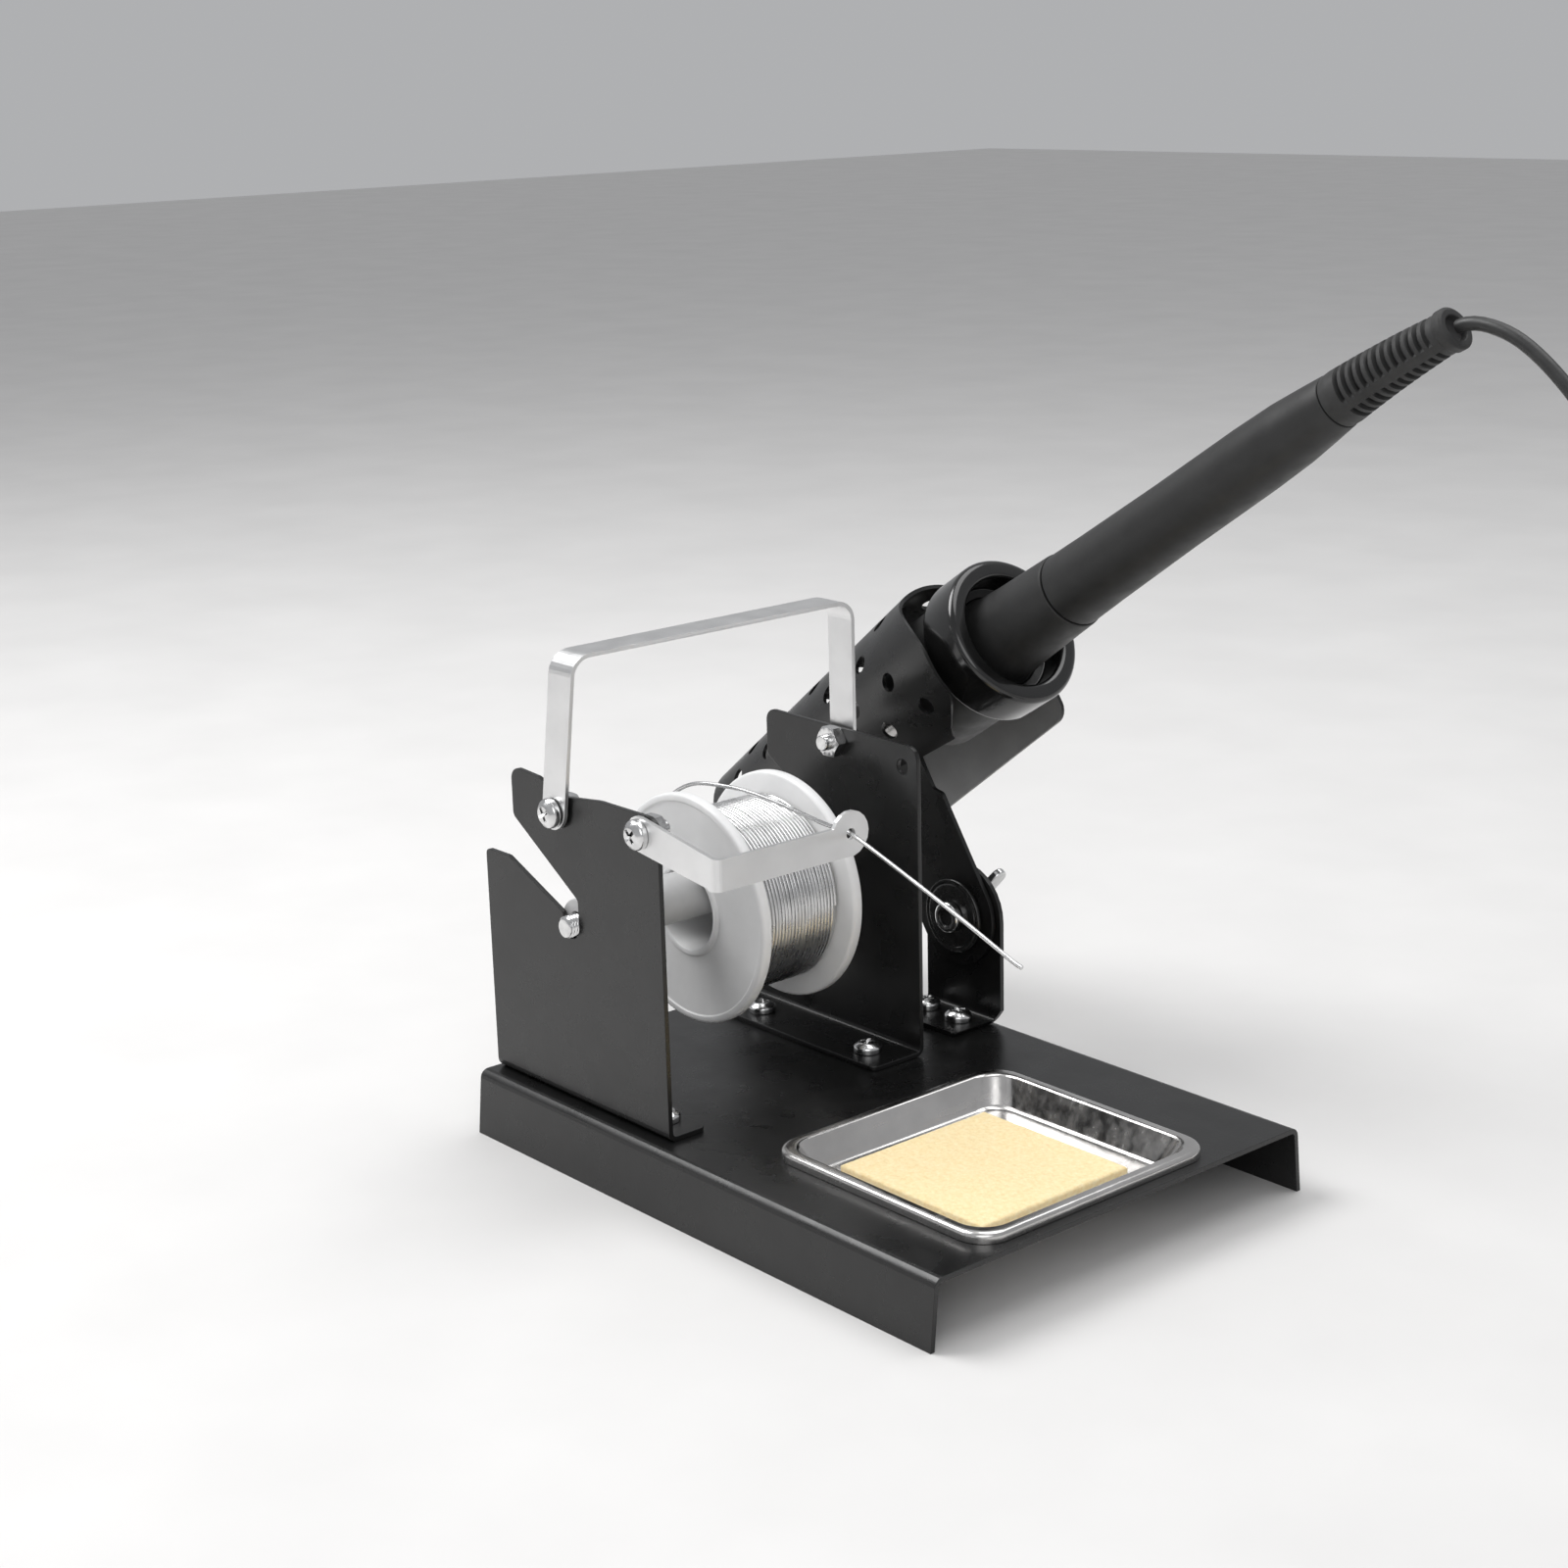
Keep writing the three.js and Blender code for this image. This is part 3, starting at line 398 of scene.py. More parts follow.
def pin(radius, reach, sides):
    """A plain cylinder about z, for drilling: it reaches as far below 0 as above."""
    corners = [(0, -reach), (radius, -reach), (radius, reach), (0, reach)]
    return lathe([Vector(c) for c in corners], sides)


def bevelled(piece, width, segments=1, angle=30):
    """Rounds the edges that are sharper than an angle in degrees."""
    bevel = piece.modifiers.new("bevel", "BEVEL")
    bevel.width = width * MM
    bevel.segments = segments
    bevel.limit_method = "ANGLE"
    bevel.angle_limit = math.radians(angle)


def soften(piece, width):
    """Rounds a piece's sharp edges, as a paint film or a deburred edge is."""
    weld = piece.modifiers.new("weld", "WELD")
    weld.merge_threshold = 1e-6
    flat = piece.modifiers.new("flat", "DECIMATE")
    flat.decimate_type = "DISSOLVE"
    flat.angle_limit = math.radians(0.5)
    bevelled(piece, width, 2, 40)
    normals = piece.modifiers.new("normals", "WEIGHTED_NORMAL")
    normals.keep_sharp = True


# ---------------------------------------------------------------- wire and cord routes
# The solder runs off the reel to the guide arm's eye, and a loose end hangs beyond it.
STRAND = [
    (10.3, 46, 58), (11, 46.5, 68), (16, 47.3, 77.2), (25, 48.3, 83.2), (38.5, 49.5, 85),
    (52, 49.5, 84.9), (66, 48, 84.4), (77, 45.6, 84.6), (87.9, 42.5, 85.8),
]
LEAD = [
    (88.4, 42.3, 85.85), (90, 42, 85.7), (93, 41.9, 84.9), (105, 41.6, 81.2), (125, 41.4, 74.4),
    (141.5, 41.4, 68.3), (143.5, 41.5, 67.7),
]

# The cord leaves the strain relief, arcs over and falls to the table, and its spare length is
# wound into a coil of two layers: inwards on the table, then outwards on top of that.
UPPER_ROUTE = [
    (187.05, 195.9), (188.7, 196.5), (191.8, 196.8), (196, 196.2), (200.8, 194.6), (206, 191.6),
    (213.4, 185.6), (224, 174), (233, 158), (239.5, 140), JUNCTION,
]
LOWER_ROUTE = [
    JUNCTION, (247.5, 100), (250, 76), (252.3, 54), (255.2, 34), TABLE_END, (269.5, 7.5),
    (279, 3), (288, 1.55),
]
TAIL_ROUTE = [(288, 166, 4.7), (283, 167, 5.2), (278, 169.1, 6.6), (273.3, 170, 7.1)]


def coil_route():
    """Three turns inwards, one turn that climbs, three turns outwards and a half turn to leave."""
    inner, outer, spiral = COIL["inner"], COIL["outer"], COIL["turns"]
    points = []
    per_turn = 24
    for k in range(round((2 * spiral + 1.5) * per_turn) + 1):
        turns = k / per_turn
        if turns < spiral:
            radius = outer - (outer - inner) * turns / spiral
        else:
            radius = inner + (outer - inner) * min(1, max(0, turns - spiral - 1) / spiral)
        height = COIL["floor"] + COIL["rise"] * smoothstep(turns, spiral + 0.05, spiral + 0.95)
        angle = 2 * math.pi * turns - math.pi / 2
        points.append(Vector((
            COIL["x"] + radius * math.cos(angle), COIL["y"] + radius * math.sin(angle), height)))
    return points


def cord_piece(name, line):
    mesh_line = [at(*p) / MM for p in line]
    return build(name, *swept(mesh_line, CORD_RADIUS, 16), crease=60)


upper_line = curve_through([(x, CORD_Y, z) for x, z in UPPER_ROUTE], 2.0)
lower_line = curve_through(
    [(x, CORD_Y, z) for x, z in LOWER_ROUTE] + coil_route() + TAIL_ROUTE, 2.0)

cord_a = cord_piece("cord_at_iron", upper_line)
cord_b = cord_piece("cord_to_plug", lower_line)
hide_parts("cord_upper")
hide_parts("cord_lower", "cord_coil", "cord_tail")


# ---------------------------------------------------------------- materials
class Finish:
    """A procedural material: noises in metres drive its colour, roughness and fine relief."""

    def __init__(self, name, colour, roughness, metallic=0.0, **uniform):
        self.material = bpy.data.materials.new(name)
        self.material.use_nodes = True
        self.tree = self.material.node_tree
        self.surface = self.tree.nodes["Principled BSDF"]
        self.place = self.tree.nodes.new("ShaderNodeTexCoord").outputs["Object"]
        self.normal = None
        self.surface.inputs["Base Color"].default_value = (*colour, 1)
        self.surface.inputs["Roughness"].default_value = roughness
        self.surface.inputs["Metallic"].default_value = metallic
        for socket, value in uniform.items():
            self.surface.inputs[socket.replace("_", " ")].default_value = value
        self.material.diffuse_color = (*colour, 1)

    def node(self, kind, **inputs):
        made = self.tree.nodes.new(kind)
        for socket, value in inputs.items():
            target = made.inputs[socket.replace("_", " ")]
            if isinstance(value, bpy.types.NodeSocket):
                self.tree.links.new(value, target)
            else:
                target.default_value = value
        return made

    def stretched(self, stretch):
        return self.node("ShaderNodeMapping", Vector=self.place, Scale=stretch).outputs[0]

    def noise(self, size, detail=3, rough=0.5, stretch=(1, 1, 1)):
        """A noise whose features are about size millimetres, times 1 / stretch along each axis."""
        made = self.node("ShaderNodeTexNoise", Vector=self.stretched(stretch), Scale=1 / (size * MM),
                         Detail=detail, Roughness=rough)
        return made.outputs["Fac"]

    def cells(self, size):
        made = self.node("ShaderNodeTexVoronoi", Vector=self.place, Scale=1 / (size * MM))
        return made.outputs["Distance"]

    def span(self, factor, low, high):
        made = self.node("ShaderNodeMapRange", Value=factor)
        made.inputs["From Min"].default_value = 0.3
        made.inputs["From Max"].default_value = 0.7
        made.inputs["To Min"].default_value = low
        made.inputs["To Max"].default_value = high
        return made.outputs["Result"]

    def colours(self, factor, *stops):
        """Base colour from (position, colour) stops."""
        ramp = self.node("ShaderNodeValToRGB", Fac=factor)
        elements = ramp.color_ramp.elements
        while len(elements) < len(stops):
            elements.new(0.5)
        for element, (position, colour) in zip(elements, stops):
            element.position = position
            element.color = (*colour, 1)
        self.tree.links.new(ramp.outputs["Color"], self.surface.inputs["Base Color"])

    def greys(self, size, detail, low, high, warm=(0, 0)):
        """A mottled grey between two tones, in patches of about size millimetres."""
        stops = (0.3, grey(low, warm[0])), (0.7, grey(high, warm[1]))
        self.colours(self.noise(size, detail), *stops)

    def gloss(self, size, detail, low, high, stretch=(1, 1, 1)):
        """A roughness that varies between two values in patches of about size millimetres."""
        patches = self.noise(size, detail, stretch=stretch)
        self.tree.links.new(self.span(patches, low, high), self.surface.inputs["Roughness"])

    def bump(self, factor, depth, strength=1.0):
        """Relief of depth millimetres."""
        made = self.node("ShaderNodeBump", Height=factor, Distance=depth * MM, Strength=strength)
        if self.normal:
            self.tree.links.new(self.normal, made.inputs["Normal"])
        self.normal = made.outputs["Normal"]
        self.tree.links.new(self.normal, self.surface.inputs["Normal"])
        return self


def grey(value, warm=0.0):
    """A grey as a colour, warm above 0."""
    return (value * (1 + warm), value, value * (1 - warm))


def painted_steel():
    made = Finish("black_powder_coat", grey(0.007), 0.3)
    made.greys(6, 4, 0.0055, 0.0085)
    made.gloss(9, 4, 0.24, 0.34)
    made.bump(made.noise(0.9, 2), 0.012)
    return made.bump(made.noise(0.3, 2), 0.004).material


def inner_face_painted_sheen():
    """The tail plate's inner face, a lighter grey than the black sheet: a painted sheen of the soft light on
    its satin paint.
    """
    made = Finish("inner_face_painted_sheen", grey(0.27), 0.42, 0.3)
    made.greys(8, 4, 0.25, 0.29)
    made.gloss(5, 4, 0.38, 0.48)
    return made.bump(made.noise(0.5, 3), 0.01).material


def plated_strap():
    made = Finish("plated_strap", grey(0.74), 0.34, 1.0)
    made.greys(9, 4, 0.71, 0.77)
    made.gloss(6, 4, 0.3, 0.4)
    return made.bump(made.noise(0.25, 3), 0.004).material


def zinc_plate():
    made = Finish("zinc_plate", grey(0.7), 0.18, 1.0)
    made.greys(2, 4, 0.62, 0.78)
    made.gloss(1.2, 4, 0.12, 0.26)
    return made.bump(made.noise(0.4, 3), 0.006).material


def pressed_stainless():
    made = Finish("pressed_stainless", grey(0.62), 0.2, 1.0)
    made.greys(14, 4, 0.55, 0.68, (0.02, 0.02))
    made.gloss(2.5, 5, 0.14, 0.3, (1, 0.12, 1))
    made.bump(made.noise(14, 2), 0.1)
    return made.bump(made.noise(0.3, 3, stretch=(1, 0.06, 1)), 0.004).material


def solder_wire():
    made = Finish("solder_wire", grey(0.66), 0.26, 1.0)
    made.greys(7, 3, 0.6, 0.7)
    made.gloss(5, 3, 0.22, 0.32)
    return made.bump(made.noise(0.8, 2), 0.004).material


def spool_plastic():
    made = Finish("spool_plastic", grey(0.8), 0.38, Subsurface_Weight=0.35)
    made.surface.inputs["Subsurface Radius"].default_value = (0.004, 0.004, 0.004)
    made.surface.inputs["Subsurface Scale"].default_value = 1.0
    made.greys(12, 3, 0.76, 0.84)
    made.gloss(4, 4, 0.32, 0.45)
    return made.bump(made.noise(1.1, 3), 0.012).material


def sleeve_plastic():
    made = Finish("sleeve_plastic", grey(0.55), 0.4)
    made.greys(8, 3, 0.5, 0.58)
    made.gloss(3, 4, 0.34, 0.48)
    return made.bump(made.noise(0.8, 3), 0.012).material


def cellulose():
    made = Finish("cellulose_sponge", (0.88, 0.70, 0.36), 0.95, Subsurface_Weight=0.12)
    made.surface.inputs["Subsurface Radius"].default_value = (0.0015, 0.001, 0.0006)
    made.surface.inputs["Subsurface Scale"].default_value = 1.0
    made.colours(made.noise(1.1, 6, 0.7), (0.28, (0.90, 0.68, 0.34)), (0.5, (0.98, 0.79, 0.46)),
                 (0.72, (1.0, 0.87, 0.58)))
    made.bump(made.noise(0.7, 6, 0.7), 0.2)
    return made.bump(made.cells(0.8), 0.1).material


def glossy_bakelite():
    made = Finish("glossy_bakelite", grey(0.006), 0.16, Coat_Weight=0.4, Coat_Roughness=0.08)
    made.greys(7, 3, 0.005, 0.008)
    made.gloss(5, 4, 0.13, 0.22)
    return made.bump(made.noise(2.2, 3), 0.012).material


def matt_grip():
    made = Finish("matt_grip", grey(0.014), 0.5)
    made.greys(9, 4, 0.0115, 0.0165)
    made.gloss(4, 4, 0.44, 0.58)
    return made.bump(made.noise(0.35, 3), 0.01).material


def dark_rubber():
    made = Finish("dark_rubber", grey(0.022), 0.62)
    made.greys(5, 4, 0.018, 0.027)
    made.gloss(2, 4, 0.54, 0.7)
    return made.bump(made.noise(0.5, 3), 0.015).material


def cord_jacket():
    made = Finish("cord_jacket", grey(0.02), 0.42)
    made.greys(10, 3, 0.016, 0.025)
    made.gloss(3, 4, 0.36, 0.5)
    return made.bump(made.noise(0.7, 3), 0.02).material


def blackened_bolt():
    made = Finish("blackened_bolt", grey(0.05), 0.22, 0.7)
    made.greys(2, 4, 0.03, 0.07)
    made.gloss(1.2, 4, 0.16, 0.3)
    return made.bump(made.noise(0.5, 3), 0.01).material


def tip_plating():
    made = Finish("tip_plating", grey(0.35), 0.35, 1.0)
    made.greys(3, 5, 0.2, 0.42, (0.03, 0.01))
    made.gloss(2, 4, 0.28, 0.5)
    return made.bump(made.noise(0.5, 3), 0.01).material


def moulded_plug():
    made = Finish("moulded_plug", grey(0.018), 0.45)
    made.greys(8, 4, 0.015, 0.022)
    made.gloss(3, 4, 0.4, 0.54)
    return made.bump(made.noise(0.4, 3), 0.015).material


def pale_floor():
    made = Finish("pale_floor", grey(0.72), 0.6)
    made.greys(60, 4, 0.70, 0.74, (0.012, 0.012))
    return made.bump(made.noise(1.5, 3), 0.01).material


BLACK = painted_steel()
INNER_PAINTED_SHEEN = inner_face_painted_sheen()
PLATED = plated_strap()
ZINC = zinc_plate()
STAINLESS = pressed_stainless()
SOLDER = solder_wire()
NYLON = spool_plastic()
GREY_PLASTIC = sleeve_plastic()
SPONGE_FOAM = cellulose()
BAKELITE = glossy_bakelite()
GRIP = matt_grip()
RUBBER = dark_rubber()
JACKET = cord_jacket()
BOLT_BLACK = blackened_bolt()
TIP = tip_plating()
PLUG_PLASTIC = moulded_plug()


# ---------------------------------------------------------------- sheet metal from the CAD
def dress_node(name, material, width):
    node = frame["nodes"][name]
    node.data.materials.clear()
    node.data.materials.append(material)
    soften(node, width)


for name in ("base_plate", "front_bracket", "rear_bracket", "upright"):
    dress_node(name, BLACK, 0.3)
for name in ("handle_strap", "guide_arm"):
    dress_node(name, PLATED, 0.2)


# ---------------------------------------------------------------- fasteners
def cross_cutter(top):
    """Two crossed tapering blades, as a cross-head driver's point."""
    blades = []
    for turn in (0, math.pi / 2):
        corners = [(-2.1, top + 0.3), (-0.7, top - 1.7), (0.7, top - 1.7), (2.1, top + 0.3)]
        shape = plate(corners, -0.42, 0.42)
        stand = Matrix.Rotation(turn, 4, "Z") @ Matrix.Rotation(math.pi / 2, 4, "X")
        blades.append(moved(shape, stand))
    return blades


def screw_mesh(length):
    """A pan-head screw: its head stands on height 0."""
    head = rounded([
        (0, -length, 0), (1.95, -length, 0.3), (1.95, 0, 0), (3.5, 0, 0.15), (3.5, 1.5, 0.9),
        (2.1, 2.55, 1.2), (0, 2.6, 0),
    ])
    piece = build("screw", *lathe(head, 48), crease=40)
    for blade in cross_cutter(2.6):
        carve(piece, blade, crease=40)
    bevelled(piece, 0.08, 2, 50)
    return piece


def hex_nut(name, height, placement):
    """A nut 7 mm across its flats with a chamfer on both faces and a plain bore."""
    flat, bore, sides = 3.5, 2.0, 72
    rings = [(bore, 0), (2.35, 0), (3.45, 0), (None, 0), (None, height), (3.45, height), (2.35, height),
             (bore, height - 0.4), (bore, 0)]

    def point(i, j):
        angle = 2 * math.pi * j / sides
        reach = flat / math.cos(angle % (math.pi / 3) - math.pi / 6)
        radius, level = rings[i]
        if radius is None:
            radius = reach
            chamfer = (reach - flat) * 0.58
            level += -chamfer if level > height / 2 else chamfer
        return (radius * math.cos(angle), radius * math.sin(angle), level)

    return build(name, *grid(len(rings), sides, point, around=True), placement=placement, crease=25)


def threaded(radius, low, high, pitch, sides=48):
    """A rod with a rolled thread, about z."""
    depth = 0.55 * pitch
    rows = round((high - low) / pitch * 8)

    def point(i, j):
        height = low + (high - low) * i / (rows - 1)
        phase = (height / pitch + j / sides) % 1
        taper = min(1, 0.45 + min(height - low, high - height) / pitch)
        depth_here = depth * abs(2 * phase - 1)
        angle = 2 * math.pi * j / sides
        reach = (radius - depth_here) * (0.75 + 0.25 * taper)
        return (reach * math.cos(angle), reach * math.sin(angle), height)

    return grid(rows, sides, point, around=True, capped=True)


short_screw = screw_mesh(4.4)
for k, (x, y) in enumerate(FOOT_SCREWS):
    screw = bpy.data.objects.new(f"base_screw_{k + 1}", short_screw.data)
    bpy.context.scene.collection.objects.link(screw)
    bevelled(screw, 0.08)
    screw.matrix_world = placed(x, y, FOOT_TOP + FILM, Matrix.Rotation(1.1 * k + 0.4, 4, "Z"))
    finish(screw, ZINC, "station", [f"foot_screw_{k + 1}"])
bpy.data.objects.remove(short_screw)

FASTENERS = [
    ("handle_screw_a", "handle_screw_front", HANDLE_SCREWS["front"],
     HANDLE["front"] - HANDLE["strap"] / 2 - SWING_GAP, TO_FRONT, 8.2),
    ("handle_screw_b", "handle_screw_rear", HANDLE_SCREWS["rear"],
     HANDLE["rear"] + HANDLE["strap"] / 2 + SWING_GAP, TO_BACK, 8.2),
    ("guide_screw", "arm_screw", ARM_SCREW, ARM_Y - HANDLE["strap"] / 2 - FILM, TO_FRONT, 7.6),
]
for k, (name, node, (x, z), y, turn, length) in enumerate(FASTENERS):
    screw = screw_mesh(length)
    screw.name = name
    screw.matrix_world = placed(x, y, z, turn @ Matrix.Rotation(0.5 + 0.9 * k, 4, "Z"))
    finish(screw, ZINC, "station", [node])

for name, node, (x, z), y in [
    ("handle_nut_a", "handle_nut_front", HANDLE_SCREWS["front"], INNER_FACE),
    ("handle_nut_b", "handle_nut_rear", HANDLE_SCREWS["rear"], BRACKET["rear"] - FILM - NUT_HEIGHT),
    ("guide_nut", "arm_nut", ARM_SCREW, INNER_FACE),
]:
    nut = hex_nut(name, NUT_HEIGHT, placed(x, y, z, TO_BACK))
    finish(nut, ZINC, "station", [node])


# ---------------------------------------------------------------- reel
def about_y(name, shape, x, z, crease=35):
    return build(name, *shape, placement=placed(x, 0, z, TO_BACK), crease=crease)


def spool():
    """Flanges with a raised rim and a lip round the bore, on a plain barrel."""
    s = SPOOL
    radius, bore, barrel = s["radius"], s["bore"], s["barrel"]
    front, rear, flange = s["front"], s["rear"], s["flange"]
    rim, lip, sink = 1.7, 1.3, 0.35
    line = rounded([
        ((bore + barrel) / 2, front + 10, 0), (bore, front + 10, 0), (bore, front - 0.4, 0.3),
        (bore + lip, front - 0.4, 0.4), (bore + lip + 0.4, front + sink, 0.3),
        (radius - rim - 0.3, front + sink, 0.3), (radius - rim, front, 0.2), (radius, front, 0.8),
        (radius, front + flange, 0.8), (barrel, front + flange, 0.3),
        (barrel, rear - flange, 0.3), (radius, rear - flange, 0.8), (radius, rear, 0.8),
        (radius - rim, rear, 0.2), (radius - rim - 0.3, rear - sink, 0.3),
        (bore + lip + 0.4, rear - sink, 0.3), (bore + lip, rear + 0.4, 0.4), (bore, rear + 0.4, 0.3),
        (bore, front + 10, 0),
    ])[1:]
    return about_y("reel_spool", lathe(line, 120), AXLE["x"], s["z"])


def winding():
    """A bed of solder under one layer of turns that lie side by side and wander a little."""
    s = SPOOL
    low, high = s["front"] + s["flange"] + 0.3, s["rear"] - s["flange"] - 0.3
    bed, core, pitch = WINDING_RADIUS - 2 * WIRE_RADIUS - 0.25, s["barrel"] + 0.5, 1.02
    section = [(bed, low), (bed, high), (core, high), (core, low), (bed, low)]
    shapes = [lathe([Vector(c) for c in section], 120)]
    turns = int((high - low - 2 * WIRE_RADIUS) / pitch)
    per_turn = 72
    path = []
    for k in range(turns * per_turn + 1):
        turn = k / per_turn
        angle = 2 * math.pi * turn
        wander = 0.12 * noise.noise((0.9 * turn, 2.3, 3 * math.sin(angle)))
        radius = WINDING_RADIUS - 1.5 * WIRE_RADIUS - 0.25
        radius += 0.08 * noise.noise((0.8 * turn, 5.1, 2.2 * math.cos(angle)))
        path.append(Vector((radius * math.cos(angle), radius * math.sin(angle),
                            low + WIRE_RADIUS + pitch * turn + wander)))
    shapes.append(swept(path, WIRE_RADIUS, 8))
    return about_y("solder_turns", together(*shapes), AXLE["x"], s["z"], crease=60)


def axle():
    """A rod with a thread rolled on both ends and a plain middle under the sleeve."""
    ends = 9
    front, rear, radius = AXLE["front"], AXLE["rear"], AXLE["radius"]
    middle = rounded([(0, front + ends - 0.5, 0), (radius - 0.25, front + ends - 0.5, 0.2),
                      (radius - 0.25, rear - ends + 0.5, 0.2), (0, rear - ends + 0.5, 0)])
    shape = together(
        threaded(radius, front, front + ends, AXLE["pitch"]),
        lathe(middle, 48),
        threaded(radius, rear - ends, rear, AXLE["pitch"]))
    return about_y("threaded_axle", shape, AXLE["x"], AXLE["z"], crease=50)


def sleeve():
    s = SLEEVE
    line = rounded([
        (s["bore"], 40, 0), (s["bore"], s["front"], 0.3), (s["radius"], s["front"], 0.5),
        (s["radius"], s["rear"], 0.5), (s["bore"], s["rear"], 0.3), (s["bore"], 40, 0),
    ])
    return about_y("spacer_sleeve", lathe(line, 64), AXLE["x"], AXLE["z"])


finish(spool(), NYLON, "reel", ["spool"])
finish(winding(), SOLDER, "reel", ["solder_winding"])
finish(axle(), ZINC, "axle", ["reel_axle"])
finish(sleeve(), GREY_PLASTIC, "axle", ["axle_sleeve"])


def wire(name, corners):
    line = [at(*p) / MM for p in curve_through(corners, 1.0)]
    return build(name, *swept(line, WIRE_RADIUS, 10), crease=60)


strand = finish(wire("solder_over_reel", STRAND), SOLDER, None, ["solder_strand"])
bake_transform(strand)
finish(wire("solder_end", LEAD), SOLDER, "solder_guide", ["solder_lead"])


# ---------------------------------------------------------------- tray and sponge
def rounded_ring(half_x, half_y, radius, z, steps=8):
    ring = []
    for sx, sy, start in ((1, -1, -90), (1, 1, 0), (-1, 1, 90), (-1, -1, 180)):
        for k in range(steps + 1):
            angle = math.radians(start + 90 * k / steps)
            ring.append((sx * (half_x - radius) + radius * math.cos(angle),
                         sy * (half_y - radius) + radius * math.sin(angle), z))
    return ring


def tray():
    """One pressed sheet: a floor that crowns a little, sloping walls and a rolled rim."""
    section = rounded([
        (7.6, 10.6, 0), (5.2, 10.6, 1.4), (1.4, 17.9, 0.5), (0.6, 17.5, 0.2), (0.6, 16.1, 0),
        (0, 16.1, 0), (0, 18.5, 1.1), (2.8, 18.5, 1.1), (6.0, 11.2, 1.8), (8.4, 11.2, 0),
    ], 5)
    levels = [(33, 10.72), (24, 10.7), (14, 10.65)] + section + [(14, 11.25), (24, 11.28), (33, 11.3)]
    rings = []
    for inset, z in levels:
        radius = max(0.2, TRAY["corner"] + 1.8 - 0.12 * inset)
        rings.append(rounded_ring(TRAY["half_x"] - inset, TRAY["half_y"] - inset, radius, z))
    count = len(rings[0])
    shape = grid(len(rings), count, lambda i, j: rings[i][j], around=True, capped=True)
    return build("pressed_tray", *shape, placement=placed(TRAY["x"], TRAY["y"], 0), crease=50)


def sponge():
    """A thin cut pad of open cellulose: flat cut sides, pores that pit the faces and a faint curl."""
    side, low, high = SPONGE["side"], SPONGE["bottom"], SPONGE["top"]
    half, count, layers = side / 2, 96, 6
    points, faces, number = [], [], {}

    def vertex(i, j, k):
        key = (i, j, k)
        if key not in number:
            x, y = (-half + side * i / count, -half + side * j / count)
            z = low + (high - low) * k / layers
            edge = min(half - abs(x), half - abs(y))
            pit = 0
            for size, depth in ((1.3, 0.16), (0.55, 0.12)):
                pit += depth * max(0, noise.noise((x / size, y / size, z / size)))
            if k == layers:
                z -= pit + 0.25 * (1 - smoothstep(edge, 0, 0.5))
            if k == 0:
                z += pit * 0.5 + 0.2 * (1 - smoothstep(edge, 0, 0.5))
            if edge < 1e-6:
                inwards = 0.02 + pit * 0.9 + (0.12 if k in (0, layers) else 0)
                x, y = x * (1 - inwards / half), y * (1 - inwards / half)
            number[key] = len(points)
            points.append((x, y, z))
        return number[key]

    for i in range(count):
        for j in range(count):
            top = [(i, j), (i + 1, j), (i + 1, j + 1), (i, j + 1)]
            faces.append([vertex(a, b, layers) for a, b in top])
            faces.append([vertex(a, b, 0) for a, b in top[::-1]])
    for m in range(count):
        for k in range(layers):
            for (a, b), (c, d) in (((m, 0), (m + 1, 0)), ((m + 1, count), (m, count)),
                                   ((count, m), (count, m + 1)), ((0, m + 1), (0, m))):
                faces.append([vertex(a, b, k), vertex(c, d, k), vertex(c, d, k + 1), vertex(a, b, k + 1)])
    return build("sponge_pad", points, faces, placement=placed(SPONGE["x"], SPONGE["y"], 0), crease=55)


finish(tray(), STAINLESS, "tray", ["sponge_tray"])
pad = finish(sponge(), SPONGE_FOAM, "sponge_pad", ["sponge"])


# ---------------------------------------------------------------- holder
def cone_radius(z):
    return HOLDER["radius"] + HOLDER["taper"] * z


def mouth_edge(angle):
    """How far the mouth's edge stands forward at an angle round the cone."""
    return 15 * smoothstep(angle, 108, 182) * (1 - 0.85 * smoothstep(angle, 202, 234))


